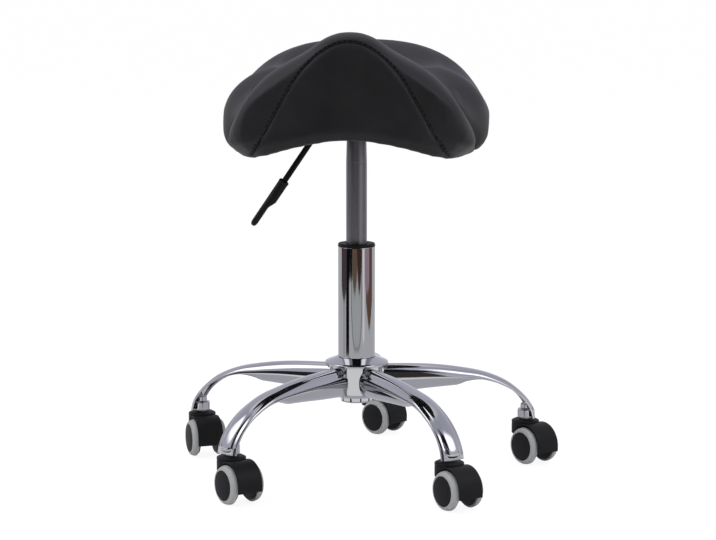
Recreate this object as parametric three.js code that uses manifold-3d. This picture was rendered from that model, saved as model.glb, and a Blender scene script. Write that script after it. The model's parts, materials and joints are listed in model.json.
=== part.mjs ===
// Saddle stool on a chromed five-leg base with twin-wheel casters and a gas lift.
// Millimetres, +Z up, the floor at z = 0, the seat's front towards -Y.
// The lift stands at the top of its travel and the casters trail as they were left.

import * as THREE from 'three';
import { mergeVertices } from 'three/addons/utils/BufferGeometryUtils.js';
import Module from 'manifold-3d';

const wasm = await Module();
wasm.setup();

// Shared by every piece
const gap = 0.3; // clear space between pieces that touch
const turningGap = 0.35; // clear space round a piece that turns
const overrun = 5; // how far a cut runs past the surface that it opens
const roundSides = 16; // facets round a middling turned piece
const smallSides = 12; // facets round a small one

// Wheels: a moulded core with a softer tyre over its outer half
const wheelRadius = 25.5; // to the flat of the tread
const tyreThickness = 5.6;
const tyreInnerFace = 14.8; // from the caster's middle plane
const tyreWidth = 9.4;
const treadWidth = 2;
const tyreShoulder = 0.8; // chamfer on the tyre's inner edge
const coreFlangeDepth = 2.6; // how far the core's flange stays under the tread
const coreFlangeThickness = 1.6;
const coreHubRadius = 6.5;
const coreBulge = 1.6; // how far the domed cap stands past the tyre
const coreCapWall = 4.5;
const wheelSides = 18;
const coreSides = 14;
const tyreTurns = [30, 60]; // rings of the tyre's rounded outer side, in degrees

// Axle and hood of a caster
const axleRadius = 3;
const axleEndGap = 0.6;
const webThickness = 5; // the hood's middle web, between the wheels
const wheelSideGap = 0.7; // between the web and a wheel's hub
const hoodWall = 1.6;
const hoodWheelGap = 2.7; // between the tread and the hood's inside
const hoodWidth = 36;
const hoodTrailingAngle = -13; // degrees from level, where the hood's rear edge lies
const hoodLeadingAngle = 120;
const webDrop = 6; // how far the web reaches below the axle
const hoodSides = 24;
const hoodCurveSegments = 10;

// Swivel boss and stem of a caster
const casterTrail = 19; // from the stem's axis back to the axle
const bossRadius = 19;
const bossRise = 33.6; // boss top above the axle
const bossHeight = 20.4;
const bossChamferWidth = 4;
const bossChamferHeight = 2.2;
const stemRadius = 5;
const stemInBoss = 25;
const stemSocketDepth = 18.5;
const stemCollarRadius = 7.5;
const stemCollarThickness = 2;
const stemHousingRadius = 9;

// Base: five legs on a hub
const legCount = 5;
const firstLegAngle = 14.95; // degrees from +X, the leg on the sitter's left
const stemCircleRadius = 239.3;
// Headings from stem to axle, in degrees, as the stool was last rolled
const casterHeadings = [310, 319.4, 292, 306.5, 306.1];

// Legs: deep at the hub, level on top, then curving down to the casters
const legHalfWidth = 16.5;
const legWall = 2;
const legRootRise = 82.8; // top of the root above the foot
const legFootOutside = 14.7; // foot's outer edge beyond the stem's axis
const legFootInside = 9.8; // foot's inner edge short of the stem's axis
const legRootSquareness = 2.6; // 2 is an ellipse, more is boxier
const legFootSquareness = 4.5;
// Upper and lower edges: distance out from hub to foot, height from foot to root top
const legUpperShares = [[0, 1], [0.175, 0.985], [0.345, 0.954], [0.52, 0.886], [0.677, 0.788],
    [0.811, 0.626], [0.917, 0.395], [0.979, 0.172], [1, 0]];
const legLowerShares = [[0, 0.514], [0.197, 0.537], [0.379, 0.568], [0.551, 0.592], [0.691, 0.596],
    [0.81, 0.535], [0.904, 0.389], [0.964, 0.19], [1, 0]];
const legWidthShares = [0.93, 0.97, 1, 1, 1, 1, 1];
const legHollowShare = 0.7; // how far along the leg its hollow runs
const legSides = 12;
const legStations = 10;
const hollowSides = 8;
const hollowStations = 5;

// Hub: a barrel with a sloping flange on top and a ring below
const hubRadius = 37;
const hubRootMargin = 1.5; // flange underside above the leg roots
const hubFlangeReach = 6.3; // flange rim beyond the barrel
const hubFlangeRim = 3;
const hubSlopeRise = 7.5;
// Slope of the flange: distance in from the rim to the column, height up to its top
const hubSlopeShares = [[0.1, 0.22], [0.55, 0.62]];
const hubRingRadius = 21.5;
const hubRingHeight = 9;
const hubUnderside = 1; // barrel underside below the leg roots
const hubBevel = 3;
const hubRingBevel = 1.5;
const hubSides = 30;

// Column tube, necked down where it seats in the hub
const columnRadius = 25;
const columnWall = 1.6;
const columnExposed = 150.3; // from the hub's dome to the top of the tube
const neckTopRadius = 19.3;
const neckBottomRadius = 17.6;
const neckHeight = 10;
const columnFloorThickness = 3;
const columnSides = 24;

// Guide sleeve pressed into the top of the column, with a collar on the rim
const collarHeight = 4.2;
const collarRadius = 25.4;
const collarBevel = 1;
const sleeveLength = 71.8;

// Gas lift: the cylinder rides on a rod that stands in the column
const cylinderRadius = 14;
const cylinderWall = 2.4;
const cylinderExposed = 144; // from the collar to the seat's socket
const cylinderInColumn = 48.8;
const cylinderLip = 2; // rolled edge below the gland
const cylinderLipRadius = 9;
const taperLength = 54.7;
const taperReduction = 1.4;
const cylinderCap = 16;
const glandHeight = 12;
const rodRadius = 5;
const rodChamfer = 1;
const pistonHeight = 11;
const pistonGap = 0.5;
const bearingRadius = 13;
const bearingHeight = 5;
const bufferRadius = 12.5;
const bufferHeight = 9;
const clipRadius = 8;
const clipThickness = 1.5;
const clipMargin = 1.5; // rod end below the clip
const valveRadius = 3;
const valveRise = 6.2;
const valveDepth = 12;

// Seat plate: a flange bolted to the board, a pan and the cylinder's socket
const plateWidth = 126;
const plateDepth = 100;
const plateCorner = 12;
const plateThickness = 3;
const plateCurveSegments = 4;
const panSize = 84;
const panWall = 2.5;
const panDepth = 28;
const panFloor = 3;
const socketRadius = 17.5;
const socketLength = 19;
const socketAbovePanFloor = 5;
const boltEdge = 13; // plate end to bolt
const boltSideEdge = 12; // plate side to bolt
const boltRadius = 3.9;
const boltHeadRadius = 7;
const boltHeadHeight = 5;
const boltHeadSides = 6;
const boltInBoard = 9;
const boltTipGap = 1;

// Lever: a bent rod with a moulded grip, pivoting in the pan over the valve
const leverRadius = 4;
const leverPastValve = 9;
const leverPivotReach = 26; // from the valve to the pivot
const leverStraight = 36; // from the valve to the bend
const leverSlope = 34; // degrees from upright
const leverBendLength = 8;
const leverRodLength = 109; // from the bend to the grip
const trunnionRadius = 2.5;
const trunnionLength = 20;
const pivotTabThickness = 3;
const slotWidth = 14;
const gripLength = 75;
const gripRadius = 6.9;
const gripSocketDepth = 26;
const gripBladeThickness = 9;
const gripBladeWidth = 17;
const gripRoundShare = 0.42; // the round part's share of the grip
const gripBladeShare = 0.62; // where the blade has its full form
const gripTipShare = 0.9; // where the tip's rounding begins
const gripEndShare = 0.35; // the end face's share of the blade
const gripStations = 10;
const leverSides = 12; // facets round the rod and the grip
const leverSteps = 12;

// Seat board: bent plywood, blackened
const boardThickness = 12;
const boardInset = 22; // from the seat's rim to the board's edge
const boardFlatShare = 0.58; // the level middle's share of the board
const bendShares = [0, boardFlatShare, 0.7, 0.8, 0.9, 1]; // rings of the board
const boardEdgeRise = 6; // board's edge above the seat's bottom edge

// Seat outline, seen from above
const seatHalfWidth = 178;
const seatFrontReach = 184; // from the column's axis
const seatRearReach = 196;
const seatWideLine = -8; // where the seat is widest, behind the column's axis
const frontNarrowing = 20; // how much less the half width is across the front lobe
const narrowingStart = 25; // in front of the axis, where the narrowing begins
const narrowingLength = 75;
const frontCorner = 3.6; // 2 is an ellipse, more is boxier
const rearCorner = 2.4;

// Seat crown: heights above the board's level underside
const pommelRise = 105;
const dipRise = 52;
const cantleRise = 92;
const shoulderRise = 22; // where the front's slopes end at the sides
const rimDrop = 27; // widest level, below the board's level underside
const pommelEnd = 150; // the pommel keeps its height in front of this
const pommelLength = 145;
const cantleStart = 5;
const cantleLength = 115;
const pommelHalfWidth = 87;
const pommelShape = 2.3;
const pommelFade = 150; // the slopes fade out over this length
const apronLength = 80; // how far back from the front the apron's squarer rim fades
const apronHalfWidth = 100;
const apronHollow = 5; // how far the apron's middle lies behind its edges
// How tight the rim's rounding is: 2 is an ellipse, more is squarer
const apronEdgeShape = 12;
const cornerEdgeShape = 4;
const sideEdgeShape = 2.8;
const rimTuck = 9; // how far the sides draw in below the rim
const sideEdgeDrop = 47; // the bottom edge, below the board's level underside
const archRise = 12; // front and rear bottom edges above the side edges
const archHalfWidth = 70;
const cornerDroop = 14; // front corners below the side edges
const cornerPlace = 146; // from the middle line
const cornerHalfWidth = 42;

// Seat cover and foam
const coverThickness = 1.6;
const coverHemShare = 0.88; // where the cover's hem ends under the board
const hemGap = 0.6; // below the board's bent underside
const seatSides = 32;
const frontCrowding = 0.3; // how much closer together the sides stand at the front
const outlineDensity = 360;
// Rings of the crown: turns from the middle to the rim, then even steps down the last of the wall
const crownTurnShares = [0, 0.22, 0.42, 0.58, 0.7, 0.8, 0.88, 0.94, 0.975];
const wallSteps = 3;
const tuckTurnShares = [0.45, 0.8, 1];

// Colours
const leather = { color: 0x1b1b1d, roughness: 0.42, metalness: 0 };
const chrome = { color: 0xd9dadc, roughness: 0.08, metalness: 1 };
const steel = { color: 0x77777b, roughness: 0.32, metalness: 0.9 };
const blackPlastic = { color: 0x141416, roughness: 0.45, metalness: 0 };
const greyTyre = { color: 0x9c9d9e, roughness: 0.6, metalness: 0 };
const blackSteel = { color: 0x1a1a1b, roughness: 0.5, metalness: 0.4 };
const rubber = { color: 0x202020, roughness: 0.8, metalness: 0 };
const blackPlywood = { color: 0x1c1b1b, roughness: 0.75, metalness: 0 };
const foam = { color: 0xd8c98f, roughness: 0.95, metalness: 0 };

// Heights that follow from the sizes above
const axleHeight = wheelRadius;
const bossTop = axleHeight + bossRise;
const footHeight = bossTop + gap + stemCollarThickness + gap;
const rootTop = footHeight + legRootRise;
const rootBottom = footHeight + legRootRise * legLowerShares[0][1];
const hubFlangeUnder = rootTop + hubRootMargin;
const hubRimTop = hubFlangeUnder + hubFlangeRim;
const hubTop = hubRimTop + hubSlopeRise;
const barrelBottom = rootBottom - hubUnderside;
const ringBottom = barrelBottom - hubRingHeight;
const columnTop = hubTop + columnExposed;
const neckTop = hubTop - neckHeight;
const columnFloorTop = ringBottom + columnFloorThickness;
const collarTop = columnTop + gap + collarHeight;
const cylinderBottom = columnTop - cylinderInColumn;
const socketBottom = collarTop + cylinderExposed;
const socketTop = socketBottom + socketLength;
const panFloorTop = socketTop - socketAbovePanFloor;
const panTop = panFloorTop - panFloor + panDepth;
const plateTop = panTop + plateThickness;
const cylinderTop = socketTop + gap * 2;
const taperStart = cylinderTop - taperLength;
const valveTop = cylinderTop + valveRise;
const leverHeight = valveTop + gap + leverRadius;
const boardUnder = plateTop + gap;

// Solids
function solid(geometry) {
    const bare = geometry.clone();
    bare.deleteAttribute('normal');
    bare.deleteAttribute('uv');
    const welded = mergeVertices(bare);
    const position = welded.getAttribute('position');
    const index = welded.getIndex().array;
    const triangles = [];
    let volume = 0;
    const corner = [new THREE.Vector3(), new THREE.Vector3(), new THREE.Vector3()];
    for (let i = 0; i < index.length; i += 3) {
        const [a, b, c] = [index[i], index[i + 1], index[i + 2]];
        if (a === b || b === c || c === a) {
            continue;
        }
        triangles.push(a, b, c);
        [a, b, c].forEach((v, k) => corner[k].fromBufferAttribute(position, v));
        volume += corner[0].dot(corner[1].cross(corner[2]));
    }
    const facingOut = volume > 0 ? triangles : triangles.reverse();
    return new wasm.Manifold(new wasm.Mesh({
        numProp: 3,
        vertProperties: new Float32Array(position.array),
        triVerts: new Uint32Array(facingOut),
    }));
}

function geometryOf(body) {
    const mesh = body.getMesh();
    const geometry = new THREE.BufferGeometry();
    geometry.setAttribute('position', new THREE.BufferAttribute(new Float32Array(mesh.vertProperties), 3));
    geometry.setIndex(new THREE.BufferAttribute(new Uint32Array(mesh.triVerts), 1));
    geometry.computeVertexNormals();
    return geometry;
}

function piece(name, body, look) {
    const mesh = new THREE.Mesh(geometryOf(body), new THREE.MeshStandardMaterial(look));
    mesh.name = name;
    return mesh;
}

// A turned solid about Y from [radius, height] points. A profile that is off the axis is closed.
function turnedAboutY(profile, sides, startAngle = 0) {
    const points = profile.map(([radius, height]) => new THREE.Vector2(radius, height));
    const last = points[points.length - 1];
    if (points[0].x > 0 || last.x > 0) {
        points.push(points[0].clone());
    }
    return new THREE.LatheGeometry(points, sides, startAngle);
}

function turned(profile, sides) {
    return solid(turnedAboutY(profile, sides).rotateX(Math.PI / 2));
}

function upright(radius, bottom, top, sides) {
    return turned([[0, bottom], [radius, bottom], [radius, top], [0, top]], sides);
}

function acrossY(radius, from, to, x, z, sides) {
    const rod = turnedAboutY([[0, from], [radius, from], [radius, to], [0, to]], sides);
    return solid(rod.translate(x, 0, z));
}

function block(x0, x1, y0, y1, z0, z1) {
    const box = new THREE.BoxGeometry(x1 - x0, y1 - y0, z1 - z0);
    return solid(box.translate((x0 + x1) / 2, (y0 + y1) / 2, (z0 + z1) / 2));
}

// An outline drawn in X and Z, given its thickness evenly about the plane y = 0
function sidewaysPlate(shape, thickness) {
    const settings = { depth: thickness, bevelEnabled: false, curveSegments: hoodCurveSegments };
    const plate = new THREE.ExtrudeGeometry(shape, settings);
    return solid(plate.rotateX(Math.PI / 2).translate(0, thickness / 2, 0));
}

// A closed cylinder whose corners are moved: place(along, angle, out) gives each its point
function reshaped(sides, stations, place) {
    const geometry = new THREE.CylinderGeometry(1, 1, 1, sides, stations);
    const position = geometry.getAttribute('position');
    for (let i = 0; i < position.count; i += 1) {
        const out = Math.hypot(position.getX(i), position.getZ(i));
        const angle = Math.atan2(position.getX(i), position.getZ(i));
        const point = place(1 / 2 - position.getY(i), angle, out);
        position.setXYZ(i, point.x, point.y, point.z);
    }
    return solid(geometry);
}

const power = (value, exponent) => Math.sign(value) * Math.abs(value) ** exponent;
const mix = (from, to, share) => from + (to - from) * share;
const radians = THREE.MathUtils.degToRad;
const smooth = (value) => THREE.MathUtils.smoothstep(value, 0, 1);

// Caster wheels, turned about Y with the caster's middle plane at y = 0
function tyreBody(side) {
    const flatRadius = wheelRadius / Math.cos(Math.PI / wheelSides);
    const seatRadius = wheelRadius - tyreThickness;
    const treadStart = tyreInnerFace + tyreShoulder;
    const outerFace = tyreInnerFace + tyreWidth;
    const roundWidth = outerFace - treadStart - treadWidth;
    const roundDepth = tyreThickness - tyreShoulder;
    const profile = [
        [seatRadius, tyreInnerFace],
        [flatRadius - tyreShoulder, tyreInnerFace],
        [flatRadius, treadStart],
        [flatRadius, treadStart + treadWidth],
    ];
    for (const turn of tyreTurns) {
        const [s, c] = [Math.sin(radians(turn)), Math.cos(radians(turn))];
        profile.push([flatRadius - roundDepth * (1 - c), treadStart + treadWidth + roundWidth * s]);
    }
    profile.push([seatRadius, outerFace]);
    const flatDown = Math.PI / wheelSides;
    const geometry = turnedAboutY(profile, wheelSides, flatDown);
    return solid(geometry.scale(1, side, 1));
}

function coreBody(side) {
    const seat = wheelRadius - tyreThickness - gap;
    const bore = axleRadius + turningGap;
    const hubFace = webThickness / 2 + wheelSideGap;
    const flangeOuter = tyreInnerFace - gap;
    const flangeInner = flangeOuter - coreFlangeThickness;
    const flangeRadius = wheelRadius - coreFlangeDepth;
    const rim = tyreInnerFace + tyreWidth;
    const capInside = rim + coreBulge - coreCapWall;
    const profile = [
        [bore, hubFace],
        [coreHubRadius, hubFace],
        [coreHubRadius, flangeInner],
        [flangeRadius, flangeInner],
        [flangeRadius, flangeOuter],
        [seat, flangeOuter],
        [seat, rim],
        [0, rim + coreBulge],
        [0, capInside],
        [bore, capInside],
    ];
    const points = profile.slice(8).concat(profile.slice(0, 8));
    return solid(turnedAboutY(points, coreSides).scale(1, side, 1));
}

// Caster hood: fender, middle web and swivel boss, with the stem's axis at x = 0
function hoodBody() {
    const inside = wheelRadius + hoodWheelGap;
    const outside = inside + hoodWall;
    const fender = new THREE.Shape();
    const [trailing, leading] = [radians(hoodTrailingAngle), radians(hoodLeadingAngle)];
    fender.absarc(casterTrail, axleHeight, outside, trailing, leading, false);
    fender.lineTo(casterTrail, axleHeight);
    const web = new THREE.Shape();
    const webRadius = inside + hoodWall / 2;
    const webStart = -Math.asin(webDrop / webRadius);
    web.absarc(casterTrail, axleHeight, webRadius, webStart, Math.PI - webStart, false);
    const bossBottom = bossTop - bossHeight;
    const boss = turned([
        [0, bossBottom],
        [bossRadius, bossBottom],
        [bossRadius, bossTop - bossChamferHeight],
        [bossRadius - bossChamferWidth, bossTop],
        [0, bossTop],
    ], roundSides);
    let body = sidewaysPlate(fender, hoodWidth).add(sidewaysPlate(web, webThickness)).add(boss);
    const webFace = webThickness / 2;
    const wheelRoom = hoodWidth / 2 + overrun;
    body = body.subtract(acrossY(inside, webFace, wheelRoom, casterTrail, axleHeight, hoodSides));
    body = body.subtract(acrossY(inside, -wheelRoom, -webFace, casterTrail, axleHeight, hoodSides));
    const housingBottom = bossTop - stemInBoss - hoodWall;
    const housingTop = bossTop - bossChamferHeight;
    body = body.add(upright(stemHousingRadius, housingBottom, housingTop, smallSides));
    const boreBottom = bossTop - stemInBoss - gap;
    body = body.subtract(upright(stemRadius + turningGap, boreBottom, bossTop + overrun, roundSides));
    const axleRoom = axleRadius + gap;
    return body.subtract(acrossY(axleRoom, -webThickness, webThickness, casterTrail, axleHeight, smallSides));
}

function axleBody() {
    const rim = tyreInnerFace + tyreWidth;
    const end = rim + coreBulge - coreCapWall - axleEndGap;
    return acrossY(axleRadius, -end, end, casterTrail, axleHeight, smallSides);
}

function stemBody() {
    const bottom = bossTop - stemInBoss;
    const collarBottom = bossTop + gap;
    const collarEnd = collarBottom + stemCollarThickness;
    const top = footHeight + stemSocketDepth - gap;
    return turned([
        [0, bottom],
        [stemRadius, bottom],
        [stemRadius, collarBottom],
        [stemCollarRadius, collarBottom],
        [stemCollarRadius, collarEnd],
        [stemRadius, collarEnd],
        [stemRadius, top],
        [0, top],
    ], smallSides);
}

function caster(number, legAngle, heading) {
    const onLeg = new THREE.Group();
    onLeg.position.set(stemCircleRadius * Math.cos(legAngle), stemCircleRadius * Math.sin(legAngle), 0);
    const swivel = new THREE.Group();
    swivel.rotation.z = heading;
    onLeg.add(piece(`caster_stem_${number}`, stemBody(), steel), swivel);
    swivel.add(piece(`caster_hood_${number}`, hoodBody(), blackPlastic));
    swivel.add(piece(`caster_axle_${number}`, axleBody(), steel));
    for (const [label, side] of [['left', -1], ['right', 1]]) {
        const core = piece(`wheel_core_${label}_${number}`, coreBody(side), blackPlastic);
        const tyre = piece(`tyre_${label}_${number}`, tyreBody(side), greyTyre);
        for (const part of [core, tyre]) {
            part.position.set(casterTrail, 0, axleHeight);
            swivel.add(part);
        }
    }
    return onLeg;
}

// Leg, along +X from the hub to the foot
function legBody() {
    const start = hubRadius - overrun;
    const edge = (shares, footRadius) => new THREE.SplineCurve(shares.map(([out, up]) => new THREE.Vector2(
        mix(start, footRadius, out),
        mix(footHeight, rootTop, up),
    )));
    const upper = edge(legUpperShares, stemCircleRadius + legFootOutside);
    const lower = edge(legLowerShares, stemCircleRadius - legFootInside);
    const widthPoints = legWidthShares.map((share) => new THREE.Vector2(share * legHalfWidth, 0));
    const widths = new THREE.SplineCurve(widthPoints);
    const loft = (inset, reach, sides, stations) => reshaped(sides, stations, (along, angle, out) => {
        const t = along * reach;
        const [top, bottom] = [upper.getPoint(t), lower.getPoint(t)];
        const half = top.clone().sub(bottom).multiplyScalar(0.5);
        const middle = top.clone().add(bottom).multiplyScalar(0.5);
        const deep = half.length() - inset;
        const wide = widths.getPoint(t).x - inset;
        const corner = 2 / mix(legRootSquareness, legFootSquareness, t);
        const up = half.normalize().multiplyScalar(deep * out * power(Math.cos(angle), corner));
        return new THREE.Vector3(
            middle.x + up.x,
            wide * out * power(Math.sin(angle), corner),
            middle.y + up.y,
        );
    });
    let body = loft(0, 1, legSides, legStations);
    body = body.subtract(loft(legWall, legHollowShare, hollowSides, hollowStations));
    body = body.subtract(upright(hubRadius + gap, rootBottom - overrun, rootTop + overrun, hubSides));
    const socketRoom = stemRadius + gap;
    const socket = upright(socketRoom, footHeight - overrun, footHeight + stemSocketDepth, roundSides);
    return body.subtract(socket.translate([stemCircleRadius, 0, 0]));
}

// Hub, with a bore that the column's neck seats in
function hubBody() {
    const neckGap = gap / Math.cos(Math.PI / columnSides) + gap;
    const rimRadius = hubRadius + hubFlangeReach;
    return turned([
        [neckBottomRadius + neckGap, ringBottom],
        [hubRingRadius - hubRingBevel, ringBottom],
        [hubRingRadius, ringBottom + hubRingBevel],
        [hubRingRadius, barrelBottom],
        [hubRadius - hubBevel, barrelBottom],
        [hubRadius, barrelBottom + hubBevel],
        [hubRadius, hubFlangeUnder],
        [rimRadius, hubFlangeUnder],
        [rimRadius, hubRimTop],
        ...hubSlopeShares.map(([inward, up]) => [
            mix(rimRadius, columnRadius, inward),
            mix(hubRimTop, hubTop, up),
        ]),
        [columnRadius + neckGap, hubTop],
        [neckTopRadius + neckGap, neckTop],
    ], hubSides);
}

function columnBody() {
    const inner = columnRadius - columnWall;
    return turned([
        [rodRadius + turningGap, ringBottom],
        [neckBottomRadius, ringBottom],
        [neckTopRadius, neckTop],
        [columnRadius, hubTop],
        [columnRadius, columnTop],
        [inner, columnTop],
        [inner, hubTop + columnWall],
        [neckTopRadius - columnWall, neckTop + columnWall],
        [neckBottomRadius - columnWall, columnFloorTop],
        [rodRadius + turningGap, columnFloorTop],
    ], columnSides);
}

function guideSleeveBody() {
    const outer = columnRadius - columnWall - gap * 2;
    const inner = cylinderRadius + turningGap;
    const collarBottom = columnTop + gap;
    const bottom = columnTop - sleeveLength;
    return turned([
        [inner, bottom],
        [outer, bottom],
        [outer, collarBottom],
        [collarRadius, collarBottom],
        [collarRadius, collarTop - collarBevel],
        [collarRadius - collarBevel, collarTop],
        [inner, collarTop],
    ], columnSides);
}

// The taper that the cylinder's top and its socket share
function taperRadius(height) {
    return cylinderRadius - taperReduction * Math.max(0, (height - taperStart) / taperLength);
}

function cylinderBody() {
    const bore = cylinderRadius - cylinderWall;
    const capBottom = cylinderTop - cylinderCap;
    const valveHole = valveRadius + gap;
    return turned([
        [cylinderLipRadius, cylinderBottom],
        [cylinderRadius, cylinderBottom],
        [cylinderRadius, taperStart],
        [taperRadius(cylinderTop), cylinderTop],
        [valveHole, cylinderTop],
        [valveHole, capBottom],
        [bore, capBottom],
        [bore, cylinderBottom + cylinderLip],
        [cylinderLipRadius, cylinderBottom + cylinderLip],
    ], columnSides);
}

function glandBody() {
    const bottom = cylinderBottom + cylinderLip + gap;
    const outer = cylinderRadius - cylinderWall - gap;
    const inner = rodRadius + turningGap;
    const top = bottom + glandHeight;
    return turned([[inner, bottom], [outer, bottom], [outer, top], [inner, top]], roundSides);
}

// Rod with the piston on its top, standing on the column's floor
const pistonBottom = cylinderBottom + cylinderLip + gap + glandHeight + gap;
function rodBody() {
    const bottom = ringBottom - gap - clipThickness - clipMargin;
    const pistonRadius = cylinderRadius - cylinderWall - pistonGap;
    const pistonTop = pistonBottom + pistonHeight;
    return turned([
        [0, bottom],
        [rodRadius - rodChamfer, bottom],
        [rodRadius, bottom + rodChamfer],
        [rodRadius, pistonBottom],
        [pistonRadius, pistonBottom],
        [pistonRadius, pistonTop],
        [0, pistonTop],
    ], roundSides);
}

// A ring round the rod
function ringBody(outer, bottom, height) {
    const [inner, top] = [rodRadius + gap, bottom + height];
    return turned([[inner, bottom], [outer, bottom], [outer, top], [inner, top]], roundSides);
}

const bearingBottom = columnFloorTop + gap;
const bufferBottom = bearingBottom + bearingHeight + gap;

function valveBody() {
    return upright(valveRadius, cylinderTop - valveDepth, valveTop, smallSides);
}

// Seat plate
function roundedRectangle(width, depth, corner) {
    const shape = new THREE.Shape();
    const [x, y] = [width / 2 - corner, depth / 2 - corner];
    shape.absarc(x, y, corner, 0, Math.PI / 2, false);
    shape.absarc(-x, y, corner, Math.PI / 2, Math.PI, false);
    shape.absarc(-x, -y, corner, Math.PI, Math.PI * 1.5, false);
    shape.absarc(x, -y, corner, Math.PI * 1.5, Math.PI * 2, false);
    return shape;
}

function flatPlate(shape, bottom, thickness) {
    const settings = { depth: thickness, bevelEnabled: false, curveSegments: plateCurveSegments };
    const plate = new THREE.ExtrudeGeometry(shape, settings);
    return solid(plate.translate(0, 0, bottom));
}

const boltPlaces = [[1, 1], [-1, 1], [-1, -1], [1, -1]].map(([x, y]) => (
    [x * (plateWidth / 2 - boltEdge), y * (plateDepth / 2 - boltSideEdge)]
));

function seatPlateBody() {
    const panHalf = panSize / 2;
    const panInner = panHalf - panWall;
    const panBottom = panFloorTop - panFloor;
    let body = flatPlate(roundedRectangle(plateWidth, plateDepth, plateCorner), panTop, plateThickness);
    body = body.add(block(-panHalf, panHalf, -panHalf, panHalf, panBottom, panTop));
    body = body.subtract(block(-panInner, panInner, -panInner, panInner, panFloorTop, plateTop + overrun));
    body = body.add(upright(socketRadius, socketBottom, socketTop, columnSides));
    const bore = turned([
        [0, socketBottom - overrun],
        [taperRadius(socketBottom) + gap * 2, socketBottom - overrun],
        [taperRadius(socketBottom) + gap * 2, socketBottom],
        [taperRadius(socketTop) + gap * 2, socketTop],
        [taperRadius(socketTop) + gap * 2, socketTop + overrun],
        [0, socketTop + overrun],
    ], columnSides);
    body = body.subtract(bore);
    const tabHalf = trunnionRadius + pivotTabThickness;
    const tabInner = slotWidth / 2;
    const tabOuter = tabInner + pivotTabThickness;
    const [tabStart, tabEnd] = [-leverPivotReach - tabHalf, -leverPivotReach + tabHalf];
    const [tabRoot, tabTop] = [panFloorTop - panFloor / 2, leverHeight + tabHalf];
    const tabs = block(tabStart, tabEnd, -tabOuter, tabOuter, tabRoot, tabTop);
    const between = block(tabStart, tabEnd, -tabInner, tabInner, panFloorTop, plateTop);
    body = body.add(tabs.subtract(between));
    const pivotRadius = trunnionRadius + turningGap;
    const pivotHole = acrossY(pivotRadius, -tabOuter, tabOuter, -leverPivotReach, leverHeight, roundSides);
    body = body.subtract(pivotHole);
    const slotInside = leverPivotReach + tabHalf;
    const slotTop = leverHeight + leverRadius;
    const slotStart = -panHalf - overrun;
    const slotBottom = panBottom - overrun;
    body = body.subtract(block(slotStart, -slotInside, -tabInner, tabInner, slotBottom, slotTop));
    for (const [x, y] of boltPlaces) {
        const hole = upright(boltRadius + gap, panTop - overrun, plateTop + overrun, roundSides);
        body = body.subtract(hole.translate([x, y, 0]));
    }
    return body;
}

function boltBody() {
    const headTop = panTop - gap;
    const head = upright(boltHeadRadius, headTop - boltHeadHeight, headTop, boltHeadSides);
    const shank = upright(boltRadius, headTop - boltHeadHeight / 2, boardUnder + boltInBoard, smallSides);
    return head.add(shank);
}

// Lever rod: level over the valve, then down and out to the grip
const leverDown = new THREE.Vector3(-Math.sin(radians(leverSlope)), 0, -Math.cos(radians(leverSlope)));
const leverBend = new THREE.Vector3(-leverStraight, 0, leverHeight);
const gripStart = leverBend.clone().addScaledVector(leverDown, leverRodLength);

function leverRodBody() {
    const inner = new THREE.Vector3(leverPastValve, 0, leverHeight);
    const bendStart = leverBend.clone();
    bendStart.x += leverBendLength;
    const bendEnd = leverBend.clone().addScaledVector(leverDown, leverBendLength);
    const end = gripStart.clone().addScaledVector(leverDown, gripSocketDepth - gap);
    const path = new THREE.CurvePath();
    path.add(new THREE.LineCurve3(inner, bendStart));
    path.add(new THREE.QuadraticBezierCurve3(bendStart, leverBend, bendEnd));
    path.add(new THREE.LineCurve3(bendEnd, end));
    const section = new THREE.Shape();
    section.absarc(0, 0, leverRadius, 0, Math.PI * 2, false);
    const settings = { steps: leverSteps, extrudePath: path, curveSegments: leverSides / 2 };
    const rod = new THREE.ExtrudeGeometry(section, settings);
    const half = trunnionLength / 2;
    const trunnion = acrossY(trunnionRadius, -half, half, -leverPivotReach, leverHeight, smallSides);
    return solid(rod).add(trunnion);
}

// Grip: round where it holds the rod, then a flat blade flush with its outer side
function gripBody() {
    const outward = new THREE.Vector3(leverDown.z, 0, -leverDown.x);
    const body = reshaped(leverSides, gripStations, (along, angle, out) => {
        const flat = smooth((along - gripRoundShare) / (gripBladeShare - gripRoundShare));
        const tip = Math.sqrt(1 - (Math.max(0, along - gripTipShare) / (1 - gripTipShare)) ** 2);
        const rounding = mix(gripEndShare, 1, tip);
        const thick = mix(gripRadius, gripBladeThickness / 2, flat) * rounding;
        const wide = mix(gripRadius, gripBladeWidth / 2, flat) * rounding;
        const shift = (gripRadius - gripBladeThickness / 2) * flat;
        const point = gripStart.clone().addScaledVector(leverDown, along * gripLength);
        point.addScaledVector(outward, shift + thick * out * Math.cos(angle));
        point.y += wide * out * Math.sin(angle);
        return point;
    });
    const socket = reshaped(roundSides, 1, (along, angle, out) => {
        const point = gripStart.clone().addScaledVector(leverDown, mix(-overrun, gripSocketDepth, along));
        point.addScaledVector(outward, (leverRadius + gap) * out * Math.cos(angle));
        point.y += (leverRadius + gap) * out * Math.sin(angle);
        return point;
    });
    return body.subtract(socket);
}

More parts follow.
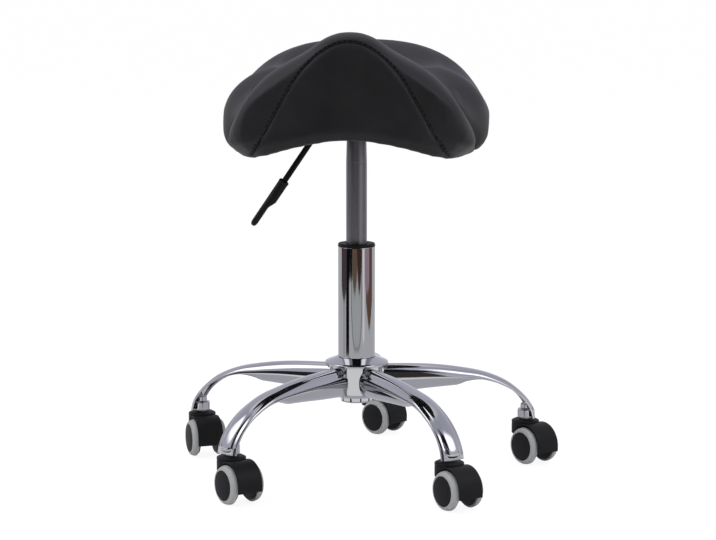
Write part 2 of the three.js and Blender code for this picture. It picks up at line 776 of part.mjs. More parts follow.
// Seat outline from above, from the front's middle round by the sitter's left
function seatOutline() {
    const dense = [];
    for (let i = 0; i <= outlineDensity; i += 1) {
        const angle = (i / outlineDensity) * Math.PI * 2 - Math.PI / 2;
        const [across, along] = [Math.cos(angle), Math.sin(angle)];
        const front = along < 0;
        const corner = 2 / (front ? frontCorner : rearCorner);
        const reach = front ? seatFrontReach + seatWideLine : seatRearReach - seatWideLine;
        const y = seatWideLine + reach * power(along, corner);
        const narrowing = frontNarrowing * smooth((-narrowingStart - y) / narrowingLength);
        dense.push(new THREE.Vector2((seatHalfWidth - narrowing) * power(across, corner), y));
    }
    const curve = new THREE.SplineCurve(dense);
    return Array.from({ length: seatSides }, (_, side) => {
        const turn = (side / seatSides) * Math.PI * 2;
        return curve.getPointAt((turn - frontCrowding * Math.sin(turn)) / (Math.PI * 2));
    });
}

// Height of the middle line along the seat: pommel, dip and cantle
function middleRise(y) {
    const pommel = smooth((pommelLength - pommelEnd - y) / pommelLength);
    const cantle = smooth((y - cantleStart) / cantleLength);
    return dipRise + (pommelRise - dipRise) * pommel + (cantleRise - dipRise) * cantle;
}

// The front slopes away on both sides of the pommel like a saddle
function crownHeight(x, y) {
    const rise = middleRise(y);
    const slopes = smooth((pommelEnd + y < 0 ? pommelFade : -y) / pommelFade);
    const fall = 1 - Math.exp(-((Math.abs(x) / pommelHalfWidth) ** pommelShape));
    return boardUnder + rise - slopes * (rise - shoulderRise) * fall;
}

const bump = (value) => Math.exp(-(value ** 2));
const apronNearness = (y) => smooth((apronLength - seatFrontReach - y) / apronLength);

// The bottom edge arches over the middle and droops at the front corners
function bottomEdgeHeight(x, y) {
    const droop = cornerDroop * apronNearness(y) * bump((Math.abs(x) - cornerPlace) / cornerHalfWidth);
    return boardUnder - sideEdgeDrop + archRise * bump(x / archHalfWidth) - droop;
}

// Points of the seat's skin over one outline point, from the crown out and down to the bottom edge
function skinRings(rim, inset) {
    const away = Math.hypot(rim.x, rim.y);
    const reach = away - inset;
    const front = apronNearness(rim.y);
    const apron = front * bump(rim.x / apronHalfWidth);
    const shape = 2 / mix(mix(sideEdgeShape, cornerEdgeShape, front), apronEdgeShape, apron);
    const rimHeight = boardUnder - rimDrop;
    const ring = (out, height) => new THREE.Vector3(rim.x / away * out, rim.y / away * out, height);
    const crownRing = (share, rise) => {
        const turn = share * Math.PI / 2;
        const hollow = apronHollow * apron * 4 * rise * (1 - rise);
        const out = reach * Math.sin(turn) ** shape - hollow * share;
        const crown = crownHeight(rim.x / away * out, rim.y / away * out) - inset;
        return ring(out, mix(rimHeight, crown, rise));
    };
    const rings = crownTurnShares.map((share) => crownRing(share, Math.cos(share * Math.PI / 2) ** shape));
    const wallShare = crownTurnShares[crownTurnShares.length - 1];
    const wallRise = Math.cos(wallShare * Math.PI / 2) ** shape;
    for (let step = 1; step <= wallSteps; step += 1) {
        const share = mix(wallShare, 1, step / wallSteps);
        rings.push(crownRing(share, mix(wallRise, 0, step / wallSteps)));
    }
    const bottom = bottomEdgeHeight(rim.x, rim.y) + inset;
    for (const share of tuckTurnShares) {
        const turn = share * Math.PI / 2;
        rings.push(ring(reach - rimTuck * (1 - Math.cos(turn)), mix(rimHeight, bottom, Math.sin(turn))));
    }
    return rings;
}

// Points of the board's underside over one outline point, at shares of the way out to its edge
function boardRings(rim, shares, lift, growth) {
    const away = Math.hypot(rim.x, rim.y);
    const edge = away - boardInset + growth;
    const edgeHeight = bottomEdgeHeight(rim.x, rim.y) + boardEdgeRise;
    return shares.map((share) => {
        const bend = smooth((share - boardFlatShare) / (1 - boardFlatShare));
        const out = edge * share;
        const height = mix(boardUnder, edgeHeight, bend) + lift;
        return new THREE.Vector3(rim.x / away * out, rim.y / away * out, height);
    });
}

// Two facets between each pair of neighbouring profiles and rings. They are cut along the diagonal
// that starts nearer the front, so the halves mirror and skins over each other never cross.
function mirroredFacets(position, count) {
    const away = (i) => Math.hypot(position.getX(i), position.getY(i));
    const index = [];
    for (let side = 0; side < seatSides; side += 1) {
        for (let i = 0; i < count - 1; i += 1) {
            const a = side * count + i;
            const [b, c, d] = [a + count, a + count + 1, a + 1];
            const outward = away(d) > away(a);
            if (outward === side < seatSides / 2) {
                index.push(a, b, d, c, d, b);
            } else {
                index.push(a, b, c, c, d, a);
            }
        }
    }
    return index;
}

// A closed body from a ring of profiles that start and end on the seat's middle line
function profiled(profileAt) {
    const outline = seatOutline();
    const first = profileAt(outline[0]);
    const count = first.length;
    const blank = first.map((point, i) => new THREE.Vector2(i % (count - 1) === 0 ? 0 : 1, i));
    const geometry = new THREE.LatheGeometry(blank, seatSides);
    const position = geometry.getAttribute('position');
    for (let side = 0; side <= seatSides; side += 1) {
        const profile = profileAt(outline[side % seatSides]);
        profile.forEach((point, i) => position.setXYZ(side * count + i, point.x, point.y, point.z));
    }
    geometry.setIndex(mirroredFacets(position, count));
    return solid(geometry);
}

function boardBody() {
    const body = profiled((rim) => [
        ...boardRings(rim, bendShares, boardThickness, 0),
        ...boardRings(rim, bendShares, 0, 0).reverse(),
    ]);
    return boltPlaces.reduce((cut, [x, y]) => {
        const top = boardUnder + boltInBoard + boltTipGap;
        const hole = upright(boltRadius + gap, boardUnder - overrun, top, roundSides);
        return cut.subtract(hole.translate([x, y, 0]));
    }, body);
}

function foamBody() {
    const inset = coverThickness + gap;
    return profiled((rim) => [
        ...boardRings(rim, bendShares, boardThickness + gap, gap),
        ...boardRings(rim, [1], 0, gap),
        ...skinRings(rim, inset).reverse(),
    ]);
}

function coverBody() {
    const hem = [1, mix(1, coverHemShare, 0.5), coverHemShare];
    return profiled((rim) => [
        ...skinRings(rim, 0),
        ...boardRings(rim, hem, -hemGap - coverThickness, 0),
        ...boardRings(rim, hem, -hemGap, 0).reverse(),
        ...skinRings(rim, coverThickness).reverse(),
    ]);
}

// Assembly
const stool = new THREE.Group();
const standing = new THREE.Group();
stool.add(standing);

for (let i = 0; i < legCount; i += 1) {
    const angle = radians(firstLegAngle) + (i * Math.PI * 2) / legCount;
    const leg = piece(`leg_${i + 1}`, legBody(), chrome);
    leg.rotation.z = angle;
    standing.add(leg, caster(i + 1, angle, radians(casterHeadings[i])));
}
standing.add(piece('hub', hubBody(), chrome));
standing.add(piece('column_tube', columnBody(), chrome));
standing.add(piece('guide_sleeve', guideSleeveBody(), blackPlastic));

const clipBottom = ringBottom - gap - clipThickness;
standing.add(piece('piston_rod', rodBody(), steel));
standing.add(piece('thrust_bearing', ringBody(bearingRadius, bearingBottom, bearingHeight), steel));
standing.add(piece('rubber_buffer', ringBody(bufferRadius, bufferBottom, bufferHeight), rubber));
standing.add(piece('retaining_clip', ringBody(clipRadius, clipBottom, clipThickness), steel));

standing.add(piece('gas_cylinder', cylinderBody(), steel));
standing.add(piece('cylinder_gland', glandBody(), blackPlastic));
standing.add(piece('valve_pin', valveBody(), steel));

standing.add(piece('seat_plate', seatPlateBody(), blackSteel));
boltPlaces.forEach(([x, y], i) => {
    const bolt = piece(`seat_bolt_${i + 1}`, boltBody(), steel);
    bolt.position.set(x, y, 0);
    standing.add(bolt);
});
standing.add(piece('lever_rod', leverRodBody(), blackSteel));
standing.add(piece('lever_grip', gripBody(), blackPlastic));
standing.add(piece('seat_board', boardBody(), blackPlywood));
standing.add(piece('seat_foam', foamBody(), foam));
standing.add(piece('seat_cover', coverBody(), leather));

// The origin is the middle of the floor area that the stool covers
stool.updateMatrixWorld(true);
const covered = new THREE.Box3().setFromObject(standing, true);
const middle = covered.getCenter(new THREE.Vector3());
standing.position.set(-middle.x, -middle.y, 0);

export default stool;
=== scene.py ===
"""Looks of the saddle stool: upholstered seat, chromed base, twin-wheel casters and studio.

Sizes are in millimetres about the column's axis, with the floor at 0, and become metres when a
mesh is made. Studio places, lamps and cards are in metres.
"""

import json
import math

import bpy
import numpy as np
from mathutils import Matrix, Vector
from mathutils.bvhtree import BVHTree
from mathutils.kdtree import KDTree


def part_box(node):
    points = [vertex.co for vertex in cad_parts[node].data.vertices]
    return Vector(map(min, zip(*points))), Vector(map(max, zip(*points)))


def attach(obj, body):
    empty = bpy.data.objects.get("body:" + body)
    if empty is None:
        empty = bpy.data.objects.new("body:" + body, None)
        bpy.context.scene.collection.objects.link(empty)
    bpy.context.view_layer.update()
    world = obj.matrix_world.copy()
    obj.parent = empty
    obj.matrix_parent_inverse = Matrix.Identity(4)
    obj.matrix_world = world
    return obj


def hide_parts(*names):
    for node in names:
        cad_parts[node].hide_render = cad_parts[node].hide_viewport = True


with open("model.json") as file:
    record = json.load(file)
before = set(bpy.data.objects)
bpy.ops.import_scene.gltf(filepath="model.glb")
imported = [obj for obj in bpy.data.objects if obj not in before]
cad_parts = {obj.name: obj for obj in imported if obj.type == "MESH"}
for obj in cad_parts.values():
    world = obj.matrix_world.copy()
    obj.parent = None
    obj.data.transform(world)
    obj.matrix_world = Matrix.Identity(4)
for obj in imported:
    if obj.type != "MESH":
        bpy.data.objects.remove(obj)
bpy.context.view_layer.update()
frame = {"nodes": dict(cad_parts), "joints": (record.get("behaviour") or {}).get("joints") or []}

MM = 0.001
tube_low, tube_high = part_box("column_tube")
AXIS = Vector(((tube_low.x + tube_high.x) / 2, (tube_low.y + tube_high.y) / 2, 0))
joints = {joint["name"]: joint for joint in frame["joints"]}

# Camera, as the photograph was taken
CAMERA_RIGHT = 173.05
CAMERA_AWAY = 2967.23
CAMERA_HEIGHT = 709.47
CAMERA_TURN = 3.3
CAMERA_DOWN = 8.3347
CAMERA_LENS = 111.61
SENSOR_WIDTH = 36


def ends_of(node):
    """Heights of a CAD node's lower and upper ends."""
    return [end.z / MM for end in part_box(node)]


# Heights shared by the pieces
HUB_BOTTOM, COLUMN_TOP = ends_of("column_tube")
HUB_TOP = ends_of("hub")[1]
SLEEVE_BOTTOM, SLEEVE_TOP = ends_of("guide_sleeve")
CYLINDER_BOTTOM, CYLINDER_TOP = ends_of("gas_cylinder")
BOARD_THICKNESS = 12
BOARD_UNDER = ends_of("seat_board")[1] - BOARD_THICKNESS
FOOT_HEIGHT = ends_of("leg_1")[0]
LEG_RISE = 82.8
ROOT_TOP = FOOT_HEIGHT + LEG_RISE
HUB_RING_HEIGHT = 9
BARREL_BOTTOM = HUB_BOTTOM + HUB_RING_HEIGHT


def power(value, exponent):
    return np.sign(value) * np.abs(value) ** exponent


def smooth(value):
    value = np.clip(value, 0, 1)
    return value * value * (3 - 2 * value)


def bump(value):
    return np.exp(-np.square(value))


def mix(start, end, share):
    return start + (end - start) * share


def spline(line, at):
    """The point at a place, counted in points, on a smooth line through the given vectors."""
    i = min(int(at), len(line) - 2)
    t = at - i
    a, b = line[max(i - 1, 0)], line[i]
    c, d = line[i + 1], line[min(i + 2, len(line) - 1)]
    return 0.5 * (2 * b + (c - a) * t + (2 * a - 5 * b + 4 * c - d) * t ** 2 + (3 * b - a - 3 * c + d) * t ** 3)


# ---- Meshes and pieces

SHARP = 35 # degrees, edges that stay crisp
NEVER_SHARP = 180
BRACE = 0.8 # from a straight's end to the point beside it


def make_mesh(name, points, faces, sharp=SHARP):
    """A mesh from points in millimetres, smooth but for edges sharper than an angle in degrees."""
    mesh = bpy.data.meshes.new(name)
    mesh.from_pydata([tuple(MM * c for c in point) for point in points], [], faces)
    mesh.validate()
    mesh.shade_smooth()
    mesh.set_sharp_from_angle(angle=math.radians(sharp))
    return mesh


def add_piece(name, mesh, material, body, nodes=(), place=None):
    """An object in the row frame that rides on a body and stands for CAD nodes."""
    piece = bpy.data.objects.new(name, mesh)
    bpy.context.scene.collection.objects.link(piece)
    piece.matrix_world = place if place is not None else Matrix.Translation(AXIS)
    if not mesh.materials:
        mesh.materials.append(material)
    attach(piece, body)
    if nodes:
        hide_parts(*nodes)
    return piece


def add_form(name, form, material, body, nodes=(), sharp=SHARP):
    """A piece from a form's points and faces."""
    return add_piece(name, make_mesh(name, *form, sharp), material, body, nodes)


def joined(parts):
    """One list of points and faces from several (points, faces)."""
    points, faces = [], []
    for part_points, part_faces in parts:
        start = len(points)
        points.extend(part_points)
        faces.extend([tuple(start + i for i in face) for face in part_faces])
    return points, faces


def rings_to_faces(count, sides, closed_ends=True, wrap=False):
    """Quads between rings of equal length, with a face on each end."""
    faces = []
    last = count if wrap else count - 1
    for ring in range(last):
        after = (ring + 1) % count
        for side in range(sides):
            turn = (side + 1) % sides
            faces.append((ring * sides + side, ring * sides + turn, after * sides + turn, after * sides + side))
    if closed_ends and not wrap:
        faces.append(tuple(reversed(range(sides))))
        faces.append(tuple((count - 1) * sides + side for side in range(sides)))
    return faces


def filleted(profile, steps=4):
    """A profile of (radius, height, fillet) with an arc at each point that has a fillet."""
    rounded = []
    count = len(profile)
    for i, entry in enumerate(profile):
        fillet = entry[2] if len(entry) > 2 else 0
        here = Vector(entry[:2])
        if not fillet:
            rounded.append(tuple(here))
            continue
        before = Vector(profile[(i - 1) % count][:2]) - here
        after = Vector(profile[(i + 1) % count][:2]) - here
        half = before.angle(after) / 2
        reach = min(fillet / math.tan(half), 0.49 * before.length, 0.49 * after.length)
        start = here + before.normalized() * reach
        end = here + after.normalized() * reach
        for step in range(steps + 1):
            share = step / steps
            rounded.append(tuple(start * (1 - share) ** 2 + here * 2 * share * (1 - share) + end * share ** 2))
    return rounded


def braced(outline, closed):
    """The outline with a point close to both ends of each long straight, so that it shades straight."""
    result = []
    last = len(outline) if closed else len(outline) - 1
    for i, point in enumerate(outline):
        result.append(point)
        here, after = Vector(point), Vector(outline[(i + 1) % len(outline)])
        length = (after - here).length
        if i < last and length > 4 * BRACE:
            result.append(tuple(here.lerp(after, BRACE / length)))
            result.append(tuple(after.lerp(here, BRACE / length)))
    return result


def turned(profile, sides=96, closed=True, across=False):
    """A turned form about Z, or about Y, from a profile of (radius, height, fillet)."""
    outline = braced(filleted(profile), closed)
    points = []
    for radius, height in outline:
        for side in range(sides):
            turn = 2 * math.pi * side / sides
            x, y = max(radius, 0.01) * math.cos(turn), max(radius, 0.01) * math.sin(turn)
            points.append((x, height, y) if across else (x, y, height))
    return points, rings_to_faces(len(outline), sides, wrap=closed)


def swept(path, radius, sides=24):
    """A round bar along a line of points, with rounded-off ends."""
    line = [Vector(point) for point in path]
    points = []
    across = Vector((0, 1, 0))
    for i, point in enumerate(line):
        ahead = (line[min(i + 1, len(line) - 1)] - line[max(i - 1, 0)]).normalized()
        side_way = (across - ahead * across.dot(ahead)).normalized()
        up_way = ahead.cross(side_way)
        for side in range(sides):
            turn = 2 * math.pi * side / sides
            points.append(tuple(point + (side_way * math.cos(turn) + up_way * math.sin(turn)) * radius))
    return points, rings_to_faces(len(line), sides)


def moved(part, x=0, y=0, z=0):
    points, faces = part
    return [(px + x, py + y, pz + z) for px, py, pz in points], faces


# ---- Materials

def link(tree, source, target):
    tree.links.new(source, target)


def add_node(tree, kind, **settings):
    node = tree.nodes.new(kind)
    for key, value in settings.items():
        if key in node.inputs:
            node.inputs[key].default_value = value
        else:
            setattr(node, key, value)
    return node


def new_material(name):
    material = bpy.data.materials.new(name)
    material.use_nodes = True
    tree = material.node_tree
    return material, tree, tree.nodes["Principled BSDF"]


def coordinates(tree, stretch=(1, 1, 1)):
    where = add_node(tree, "ShaderNodeTexCoord")
    mapping = add_node(tree, "ShaderNodeMapping", Scale=stretch)
    link(tree, where.outputs["Object"], mapping.inputs["Vector"])
    return mapping.outputs["Vector"]


def varied(tree, shader, value, low, high, socket):
    """A texture value mapped onto a plain socket of the shader."""
    ranged = add_node(tree, "ShaderNodeMapRange")
    ranged.inputs["To Min"].default_value = low
    ranged.inputs["To Max"].default_value = high
    link(tree, value, ranged.inputs["Value"])
    link(tree, ranged.outputs["Result"], shader.inputs[socket])


def tinted(tree, shader, value, dark, light):
    ramp = add_node(tree, "ShaderNodeValToRGB")
    ramp.color_ramp.elements[0].position = 0.3
    ramp.color_ramp.elements[1].position = 0.7
    ramp.color_ramp.elements[0].color = (*dark, 1)
    ramp.color_ramp.elements[1].color = (*light, 1)
    link(tree, value, ramp.inputs["Fac"])
    link(tree, ramp.outputs["Color"], shader.inputs["Base Color"])


def bumped(tree, value, strength, distance, target):
    """Relief from a value, in metres, which leads to a normal socket."""
    relief = add_node(tree, "ShaderNodeBump", Strength=strength, Distance=distance)
    link(tree, value, relief.inputs["Height"])
    link(tree, relief.outputs["Normal"], target.inputs["Normal"])
    return relief


def mixed(tree, share, first, second):
    """A shader that goes from the first to the second by a share."""
    blend = add_node(tree, "ShaderNodeMixShader")
    for i, source in enumerate((share, first, second)):
        link(tree, source, blend.inputs[i])
    return blend.outputs[0]


def larger(tree, first, second):
    node = add_node(tree, "ShaderNodeMath", operation="MAXIMUM")
    link(tree, first, node.inputs[0])
    link(tree, second, node.inputs[1])
    return node.outputs[0]


def surface(name, dark, light, rough, metallic=0, scale=300, stretch=(1, 1, 1), relief=0.1, depth=0.0001,
            specular=0.5, detail=4, coarse=0.6, distortion=0):
    """A finish whose colour, roughness and relief all follow one noise."""
    material, tree, shader = new_material(name)
    place = coordinates(tree, stretch)
    noise = add_node(tree, "ShaderNodeTexNoise", Scale=scale, Detail=detail, Roughness=coarse, Distortion=distortion)
    link(tree, place, noise.inputs["Vector"])
    value = noise.outputs["Fac"]
    tinted(tree, shader, value, dark, light)
    varied(tree, shader, value, *rough, "Roughness")
    bumped(tree, value, relief, depth, shader)
    shader.inputs["Metallic"].default_value = metallic
    shader.inputs["Specular IOR Level"].default_value = specular
    return material


def leather_material():
    """Black grained upholstery: fine pebbles, broad creases and a soft crease along each seam."""
    material, tree, shader = new_material("black_leather")
    place = coordinates(tree)
    pebbles = add_node(tree, "ShaderNodeTexVoronoi", Scale=820, feature="SMOOTH_F1")
    pebbles.inputs["Smoothness"].default_value = 0.4
    broad = add_node(tree, "ShaderNodeTexNoise", Scale=26, Detail=3, Roughness=0.5)
    for texture in (pebbles, broad):
        link(tree, place, texture.inputs["Vector"])
    tinted(tree, shader, broad.outputs["Fac"], (0.006, 0.006, 0.0072), (0.0085, 0.0085, 0.0098))
    varied(tree, shader, broad.outputs["Fac"], 0.44, 0.56, "Roughness")
    seam = add_node(tree, "ShaderNodeAttribute", attribute_name="seam_depth")
    crease = bumped(tree, seam.outputs["Fac"], 1, 0.0012, shader)
    crease.invert = True
    grain = bumped(tree, pebbles.outputs["Distance"], 0.22, 0.00025, crease)
    bumped(tree, broad.outputs["Fac"], 0.25, 0.0006, grain)
    shader.inputs["Specular IOR Level"].default_value = 0.26
    return material


leather = leather_material()
plywood = surface("black_plywood", (0.006, 0.0055, 0.005), (0.013, 0.012, 0.011), (0.65, 0.82), scale=9,
                  stretch=(30, 3, 3), relief=0.2, depth=0.0003, detail=8, coarse=0.65, distortion=1.2)
chrome = surface("chrome", (0.49, 0.493, 0.505), (0.51, 0.513, 0.525), (0.035, 0.07), 1, 12,
                 relief=0.03, depth=0.0004)
satin_steel = surface("satin_steel", (0.19, 0.188, 0.205), (0.25, 0.248, 0.268), (0.34, 0.44), 1, 260,
                      (1, 1, 0.02))
plated_steel = surface("plated_steel", (0.42, 0.42, 0.43), (0.5, 0.5, 0.5), (0.22, 0.36), 1, 160, relief=0.05)
black_steel = surface("black_powder_coat", (0.003, 0.003, 0.0033), (0.0055, 0.0055, 0.006), (0.45, 0.6), 0, 900,
                      relief=0.3, depth=0.00008, specular=0.12)
black_plastic = surface("black_nylon", (0.0042, 0.0042, 0.0047), (0.0065, 0.0065, 0.007), (0.42, 0.56), 0, 1400,
                        relief=0.18, depth=0.00006, specular=0.16)
grey_tyre = surface("grey_tyre", (0.24, 0.243, 0.247), (0.29, 0.293, 0.297), (0.5, 0.64), 0, 500,
                    relief=0.12, depth=0.00008, specular=0.3)
black_rubber = surface("black_rubber", (0.012, 0.012, 0.012), (0.022, 0.022, 0.022), (0.7, 0.85), 0, 700, relief=0.2)
# Black thread for the stitches, also used for the cords of painted shade in the seams' creases
black_thread_and_painted_shade = surface("black_thread_and_painted_shade", (0.0012, 0.0012, 0.0014), (0.0025, 0.0025, 0.0028), (0.7, 0.9), 0, 2500,
                       relief=0.4, specular=0.08)

# ---- Seat form, as the CAD seat is formed

SEAT_HALF_WIDTH = 178
SEAT_FRONT_REACH = 184
SEAT_REAR_REACH = 196
SEAT_WIDE_LINE = -8
FRONT_NARROWING = 20
NARROWING_START = 25
NARROWING_LENGTH = 75
FRONT_CORNER = 3.6
REAR_CORNER = 2.4
POMMEL_RISE = 105
DIP_RISE = 52
CANTLE_RISE = 89.5
SHOULDER_RISE = 22
RIM_DROP = 27
POMMEL_END = 150
POMMEL_LENGTH = 145
CANTLE_START = 5
CANTLE_LENGTH = 115
POMMEL_HALF_WIDTH = 87
POMMEL_SHAPE = 2.3
POMMEL_FADE = 150
APRON_LENGTH = 80
APRON_HALF_WIDTH = 100
APRON_HOLLOW = 5
APRON_EDGE_SHAPE = 12
CORNER_EDGE_SHAPE = 4
SIDE_EDGE_SHAPE = 3
RIM_TUCK = 9
SIDE_EDGE_DROP = 47
ARCH_RISE = 12
ARCH_HALF_WIDTH = 70
CORNER_DROOP = 14
CORNER_PLACE = 146
CORNER_HALF_WIDTH = 42
BOARD_INSET = 22
BOARD_FLAT_SHARE = 0.58
BOARD_EDGE_RISE = 6
COVER_DROOP = 16
COVER_DROOP_WIDTH = 52
DROOP_START = 15
DROOP_LENGTH = 75
LOBE_RISE = 11
LOBE_PLACE = -18
LOBE_SPAN = 60
LOBE_START = 82
LOBE_LENGTH = 62
HEM_DROP = 2.2
HEM_SHARE = 0.88
# Rolled lower edge: distance in from the tuck, height over the bottom edge
LIP = ((1.5, -1.1), (4, -1.8), (7, -1.2))
# Underside: share of the way out to the board's edge, height over the board's underside
UNDERSIDE = ((1, -HEM_DROP), (0.94, -HEM_DROP), (HEM_SHARE, -HEM_DROP), (0.865, 4), (0.7, 5), (0.4, 5), (0.1, 5))
INNER_RISE = 5

OUTLINE_STEPS = 1441
OUTLINE_SIDES = 260
CROWN_RINGS = 70
CROWN_CROWDING = 1.8 # more crowds the rings towards the rim
TUCK_RINGS = 10


def seat_outline(count):
    """Evenly spaced points round the seat's rim, as x and y."""
    turn = np.linspace(0, 2 * math.pi, OUTLINE_STEPS) - math.pi / 2
    across, along = np.cos(turn), np.sin(turn)
    front = along < 0
    corner = 2 / np.where(front, FRONT_CORNER, REAR_CORNER)
    reach = np.where(front, SEAT_FRONT_REACH + SEAT_WIDE_LINE, SEAT_REAR_REACH - SEAT_WIDE_LINE)
    y = SEAT_WIDE_LINE + reach * power(along, corner)
    narrowing = FRONT_NARROWING * smooth((-NARROWING_START - y) / NARROWING_LENGTH)
    x = (SEAT_HALF_WIDTH - narrowing) * power(across, corner)
    walked = np.concatenate([[0], np.cumsum(np.hypot(np.diff(x), np.diff(y)))])
    stops = np.linspace(0, walked[-1], count, endpoint=False)
    return np.interp(stops, walked, x), np.interp(stops, walked, y)


def crown_height(x, y):
    """The saddle's top: pommel, dip, cantle, falling sides and the lobes beside the dip."""
    pommel = smooth((POMMEL_LENGTH - POMMEL_END - y) / POMMEL_LENGTH)
    cantle = smooth((y - CANTLE_START) / CANTLE_LENGTH)
    rise = DIP_RISE + (POMMEL_RISE - DIP_RISE) * pommel + (CANTLE_RISE - DIP_RISE) * cantle
    slopes = smooth(np.minimum(-y, POMMEL_FADE) / POMMEL_FADE)
    fall = 1 - np.exp(-((np.abs(x) / POMMEL_HALF_WIDTH) ** POMMEL_SHAPE))
    lobe = LOBE_RISE * bump((y - LOBE_PLACE) / LOBE_SPAN) * smooth((np.abs(x) - LOBE_START) / LOBE_LENGTH)
    return BOARD_UNDER + rise - slopes * (rise - SHOULDER_RISE) * fall + lobe


def apron_nearness(y):
    return smooth((APRON_LENGTH - SEAT_FRONT_REACH - y) / APRON_LENGTH)


def bottom_edge_height(x, nearness, deep=CORNER_DROOP, wide=CORNER_HALF_WIDTH):
    droop = deep * nearness * bump((np.abs(x) - CORNER_PLACE) / wide)
    return BOARD_UNDER - SIDE_EDGE_DROP + ARCH_RISE * bump(x / ARCH_HALF_WIDTH) - droop


def cover_edge_height(x, y):
    """The cover's bottom edge, which hangs past the board beside the front corners."""
    return bottom_edge_height(x, smooth((DROOP_START - y) / DROOP_LENGTH), COVER_DROOP, COVER_DROOP_WIDTH)


def board_edge_height(x, y):
    return bottom_edge_height(x, apron_nearness(y)) + BOARD_EDGE_RISE


def board_bend(share):
    """How far the board has bent down at a share of the way out to its edge."""
    return smooth((share - BOARD_FLAT_SHARE) / (1 - BOARD_FLAT_SHARE))


def seat_rings(inset):
    """Rings of the seat's skin and underside, each an array of points, from the crown downwards."""
    rim_x, rim_y = seat_outline(OUTLINE_SIDES)
    away = np.hypot(rim_x, rim_y)
    reach = away - inset
    front = apron_nearness(rim_y)
    apron = front * bump(rim_x / APRON_HALF_WIDTH)
    shape = 2 / mix(mix(SIDE_EDGE_SHAPE, CORNER_EDGE_SHAPE, front), APRON_EDGE_SHAPE, apron)
    rim_height = BOARD_UNDER - RIM_DROP
    rings = []

    def ring(out, height):
        rings.append(np.stack([rim_x / away * out, rim_y / away * out, height + 0 * out], axis=1))

    for step in range(1, CROWN_RINGS + 1):
        share = 1 - (1 - step / CROWN_RINGS) ** CROWN_CROWDING
        rise = np.cos(share * math.pi / 2) ** shape
        hollow = APRON_HOLLOW * apron * 4 * rise * (1 - rise)
        out = reach * np.sin(share * math.pi / 2) ** shape - hollow * share
        crown = crown_height(rim_x / away * out, rim_y / away * out) - inset
        ring(out, mix(rim_height, crown, rise))
    bottom = cover_edge_height(rim_x, rim_y) + inset
    for step in range(1, TUCK_RINGS + 1):
        turn = step / TUCK_RINGS * math.pi / 2
        ring(reach - RIM_TUCK * (1 - math.cos(turn)), mix(rim_height, bottom, math.sin(turn)))
    for inwards, lift in LIP:
        ring(reach - RIM_TUCK - inwards, bottom + lift)
    edge = away - BOARD_INSET
    edge_height = board_edge_height(rim_x, rim_y)
    for share, lift in UNDERSIDE:
        ring(edge * share, mix(BOARD_UNDER, edge_height, board_bend(share)) + lift)
    return rings


# Seams of the cover on its right half. The apron's runs over the front, from the middle down.
APRON_SEAM = [(0, -178, 589.5), (12, -178, 588), (25, -178, 582.3), (41, -178, 572), (56, -178, 558.5),
              (69, -178, 541), (81.6, -177, 519), (93.5, -175, 498), (106, -171, 476.5), (116, -165, 460),
              (124, -155, 446), (128, -146, 441)]
# The shoulder's crosses behind the pommel and runs down the waist.
SHOULDER_SEAM = [(0, -88, 590), (30, -90, 583), (62, -96, 562), (92, -106, 542), (121, -118, 522),
                 (135, -127, 507), (144.7, -121.8, 493.7), (152.4, -104, 477.5), (157, -85, 463),
                 (158, -66, 450), (156, -55, 445)]
SEAM_STEP = 1.5
SEAM_HALF_WIDTH = 3.2
SEAM_DEPTH = 0.9
SHOULDER_SEAM_DEPTH = 2.5
# Cords of painted shade in the seams' creases: their radii, and the shoulder's start off the middle and shift to the
# rear
SEAM_SHADE_RADIUS = 0.42
SHOULDER_SHADE_RADIUS = 1.2
SHOULDER_SHADE_START = 92
SHOULDER_SHADE_SHIFT = 1.8
STITCH_OFFSET = 2.6
STITCH_PITCH = 6.6
STITCH_LENGTH = 4.4
STITCH_RADIUS = 0.8
STITCH_SHARES = (-0.5, -0.42, -0.2, 0.2, 0.42, 0.5)
STITCH_SUNK = -0.7
STITCH_PROUD = 0.1
SUNK_SHARE = 0.25
THREAD_SIDES = 8
STAPLE_COUNT = 44
STAPLE_HALF_LENGTH = 5
STAPLE_LEG = 2.5
STAPLE_RADIUS = 0.45
BOLSTER_RISE = 12
BOLSTER_SPAN = 60
BOLSTER_FULLNESS = 0.7 # less is fuller
BOLSTER_FOOT = 22
CREASE_DEPTH = 5
CREASE_WIDTH = 10
CREASE_START = 95
CREASE_LENGTH = 60
FADE_START = 45
FADE_LENGTH = 60
APRON_TURN = 0.97 # part of the normal towards the front, where the bolster ends
APRON_TURN_LENGTH = 0.3
SEAM_LINE_WIDTH = 1.2

REMESH_VOXEL = 4.5
CLOTH = {"quality": 6, "mass": 0.3, "tension_stiffness": 18, "compression_stiffness": 18, "shear_stiffness": 8,
         "bending_stiffness": 2, "use_pressure": True, "uniform_pressure_force": 4, "vertex_group_mass": "held"}
SWELL_FRAMES = 20
SWELL_CAP = 4
SWELL_ROOM = 1.2
SMOOTHING_STEPS = 10
SOFTENING_STEPS = 24
HELD_WIDTH = 4
HELD_EDGE = 14
HELD_EDGE_LENGTH = 8
HELD_MIDDLE = 60
HELD_MIDDLE_RISE = 20


def mirrored(line):
    """A seam over both halves from its points on one half, starting at the middle."""
    return [(-x, y, z) for x, y, z in reversed(line[1:])] + list(line)


def smoothed_line(points, step):
    """Evenly spaced points on a smooth line through the given ones."""
    known = [Vector(p) for p in points]
    dense = [spline(known, i + k / 24) for i in range(len(known) - 1) for k in range(24)] + [known[-1]]
    walked = [0]
    for i in range(1, len(dense)):
        walked.append(walked[-1] + (dense[i] - dense[i - 1]).length)
    line, j = [], 0
    for k in range(int(walked[-1] / step) + 1):
        while j < len(walked) - 2 and walked[j + 1] < k * step:
            j += 1
        share = (k * step - walked[j]) / max(walked[j + 1] - walked[j], 1e-6)
        line.append(dense[j].lerp(dense[j + 1], share))
    return line


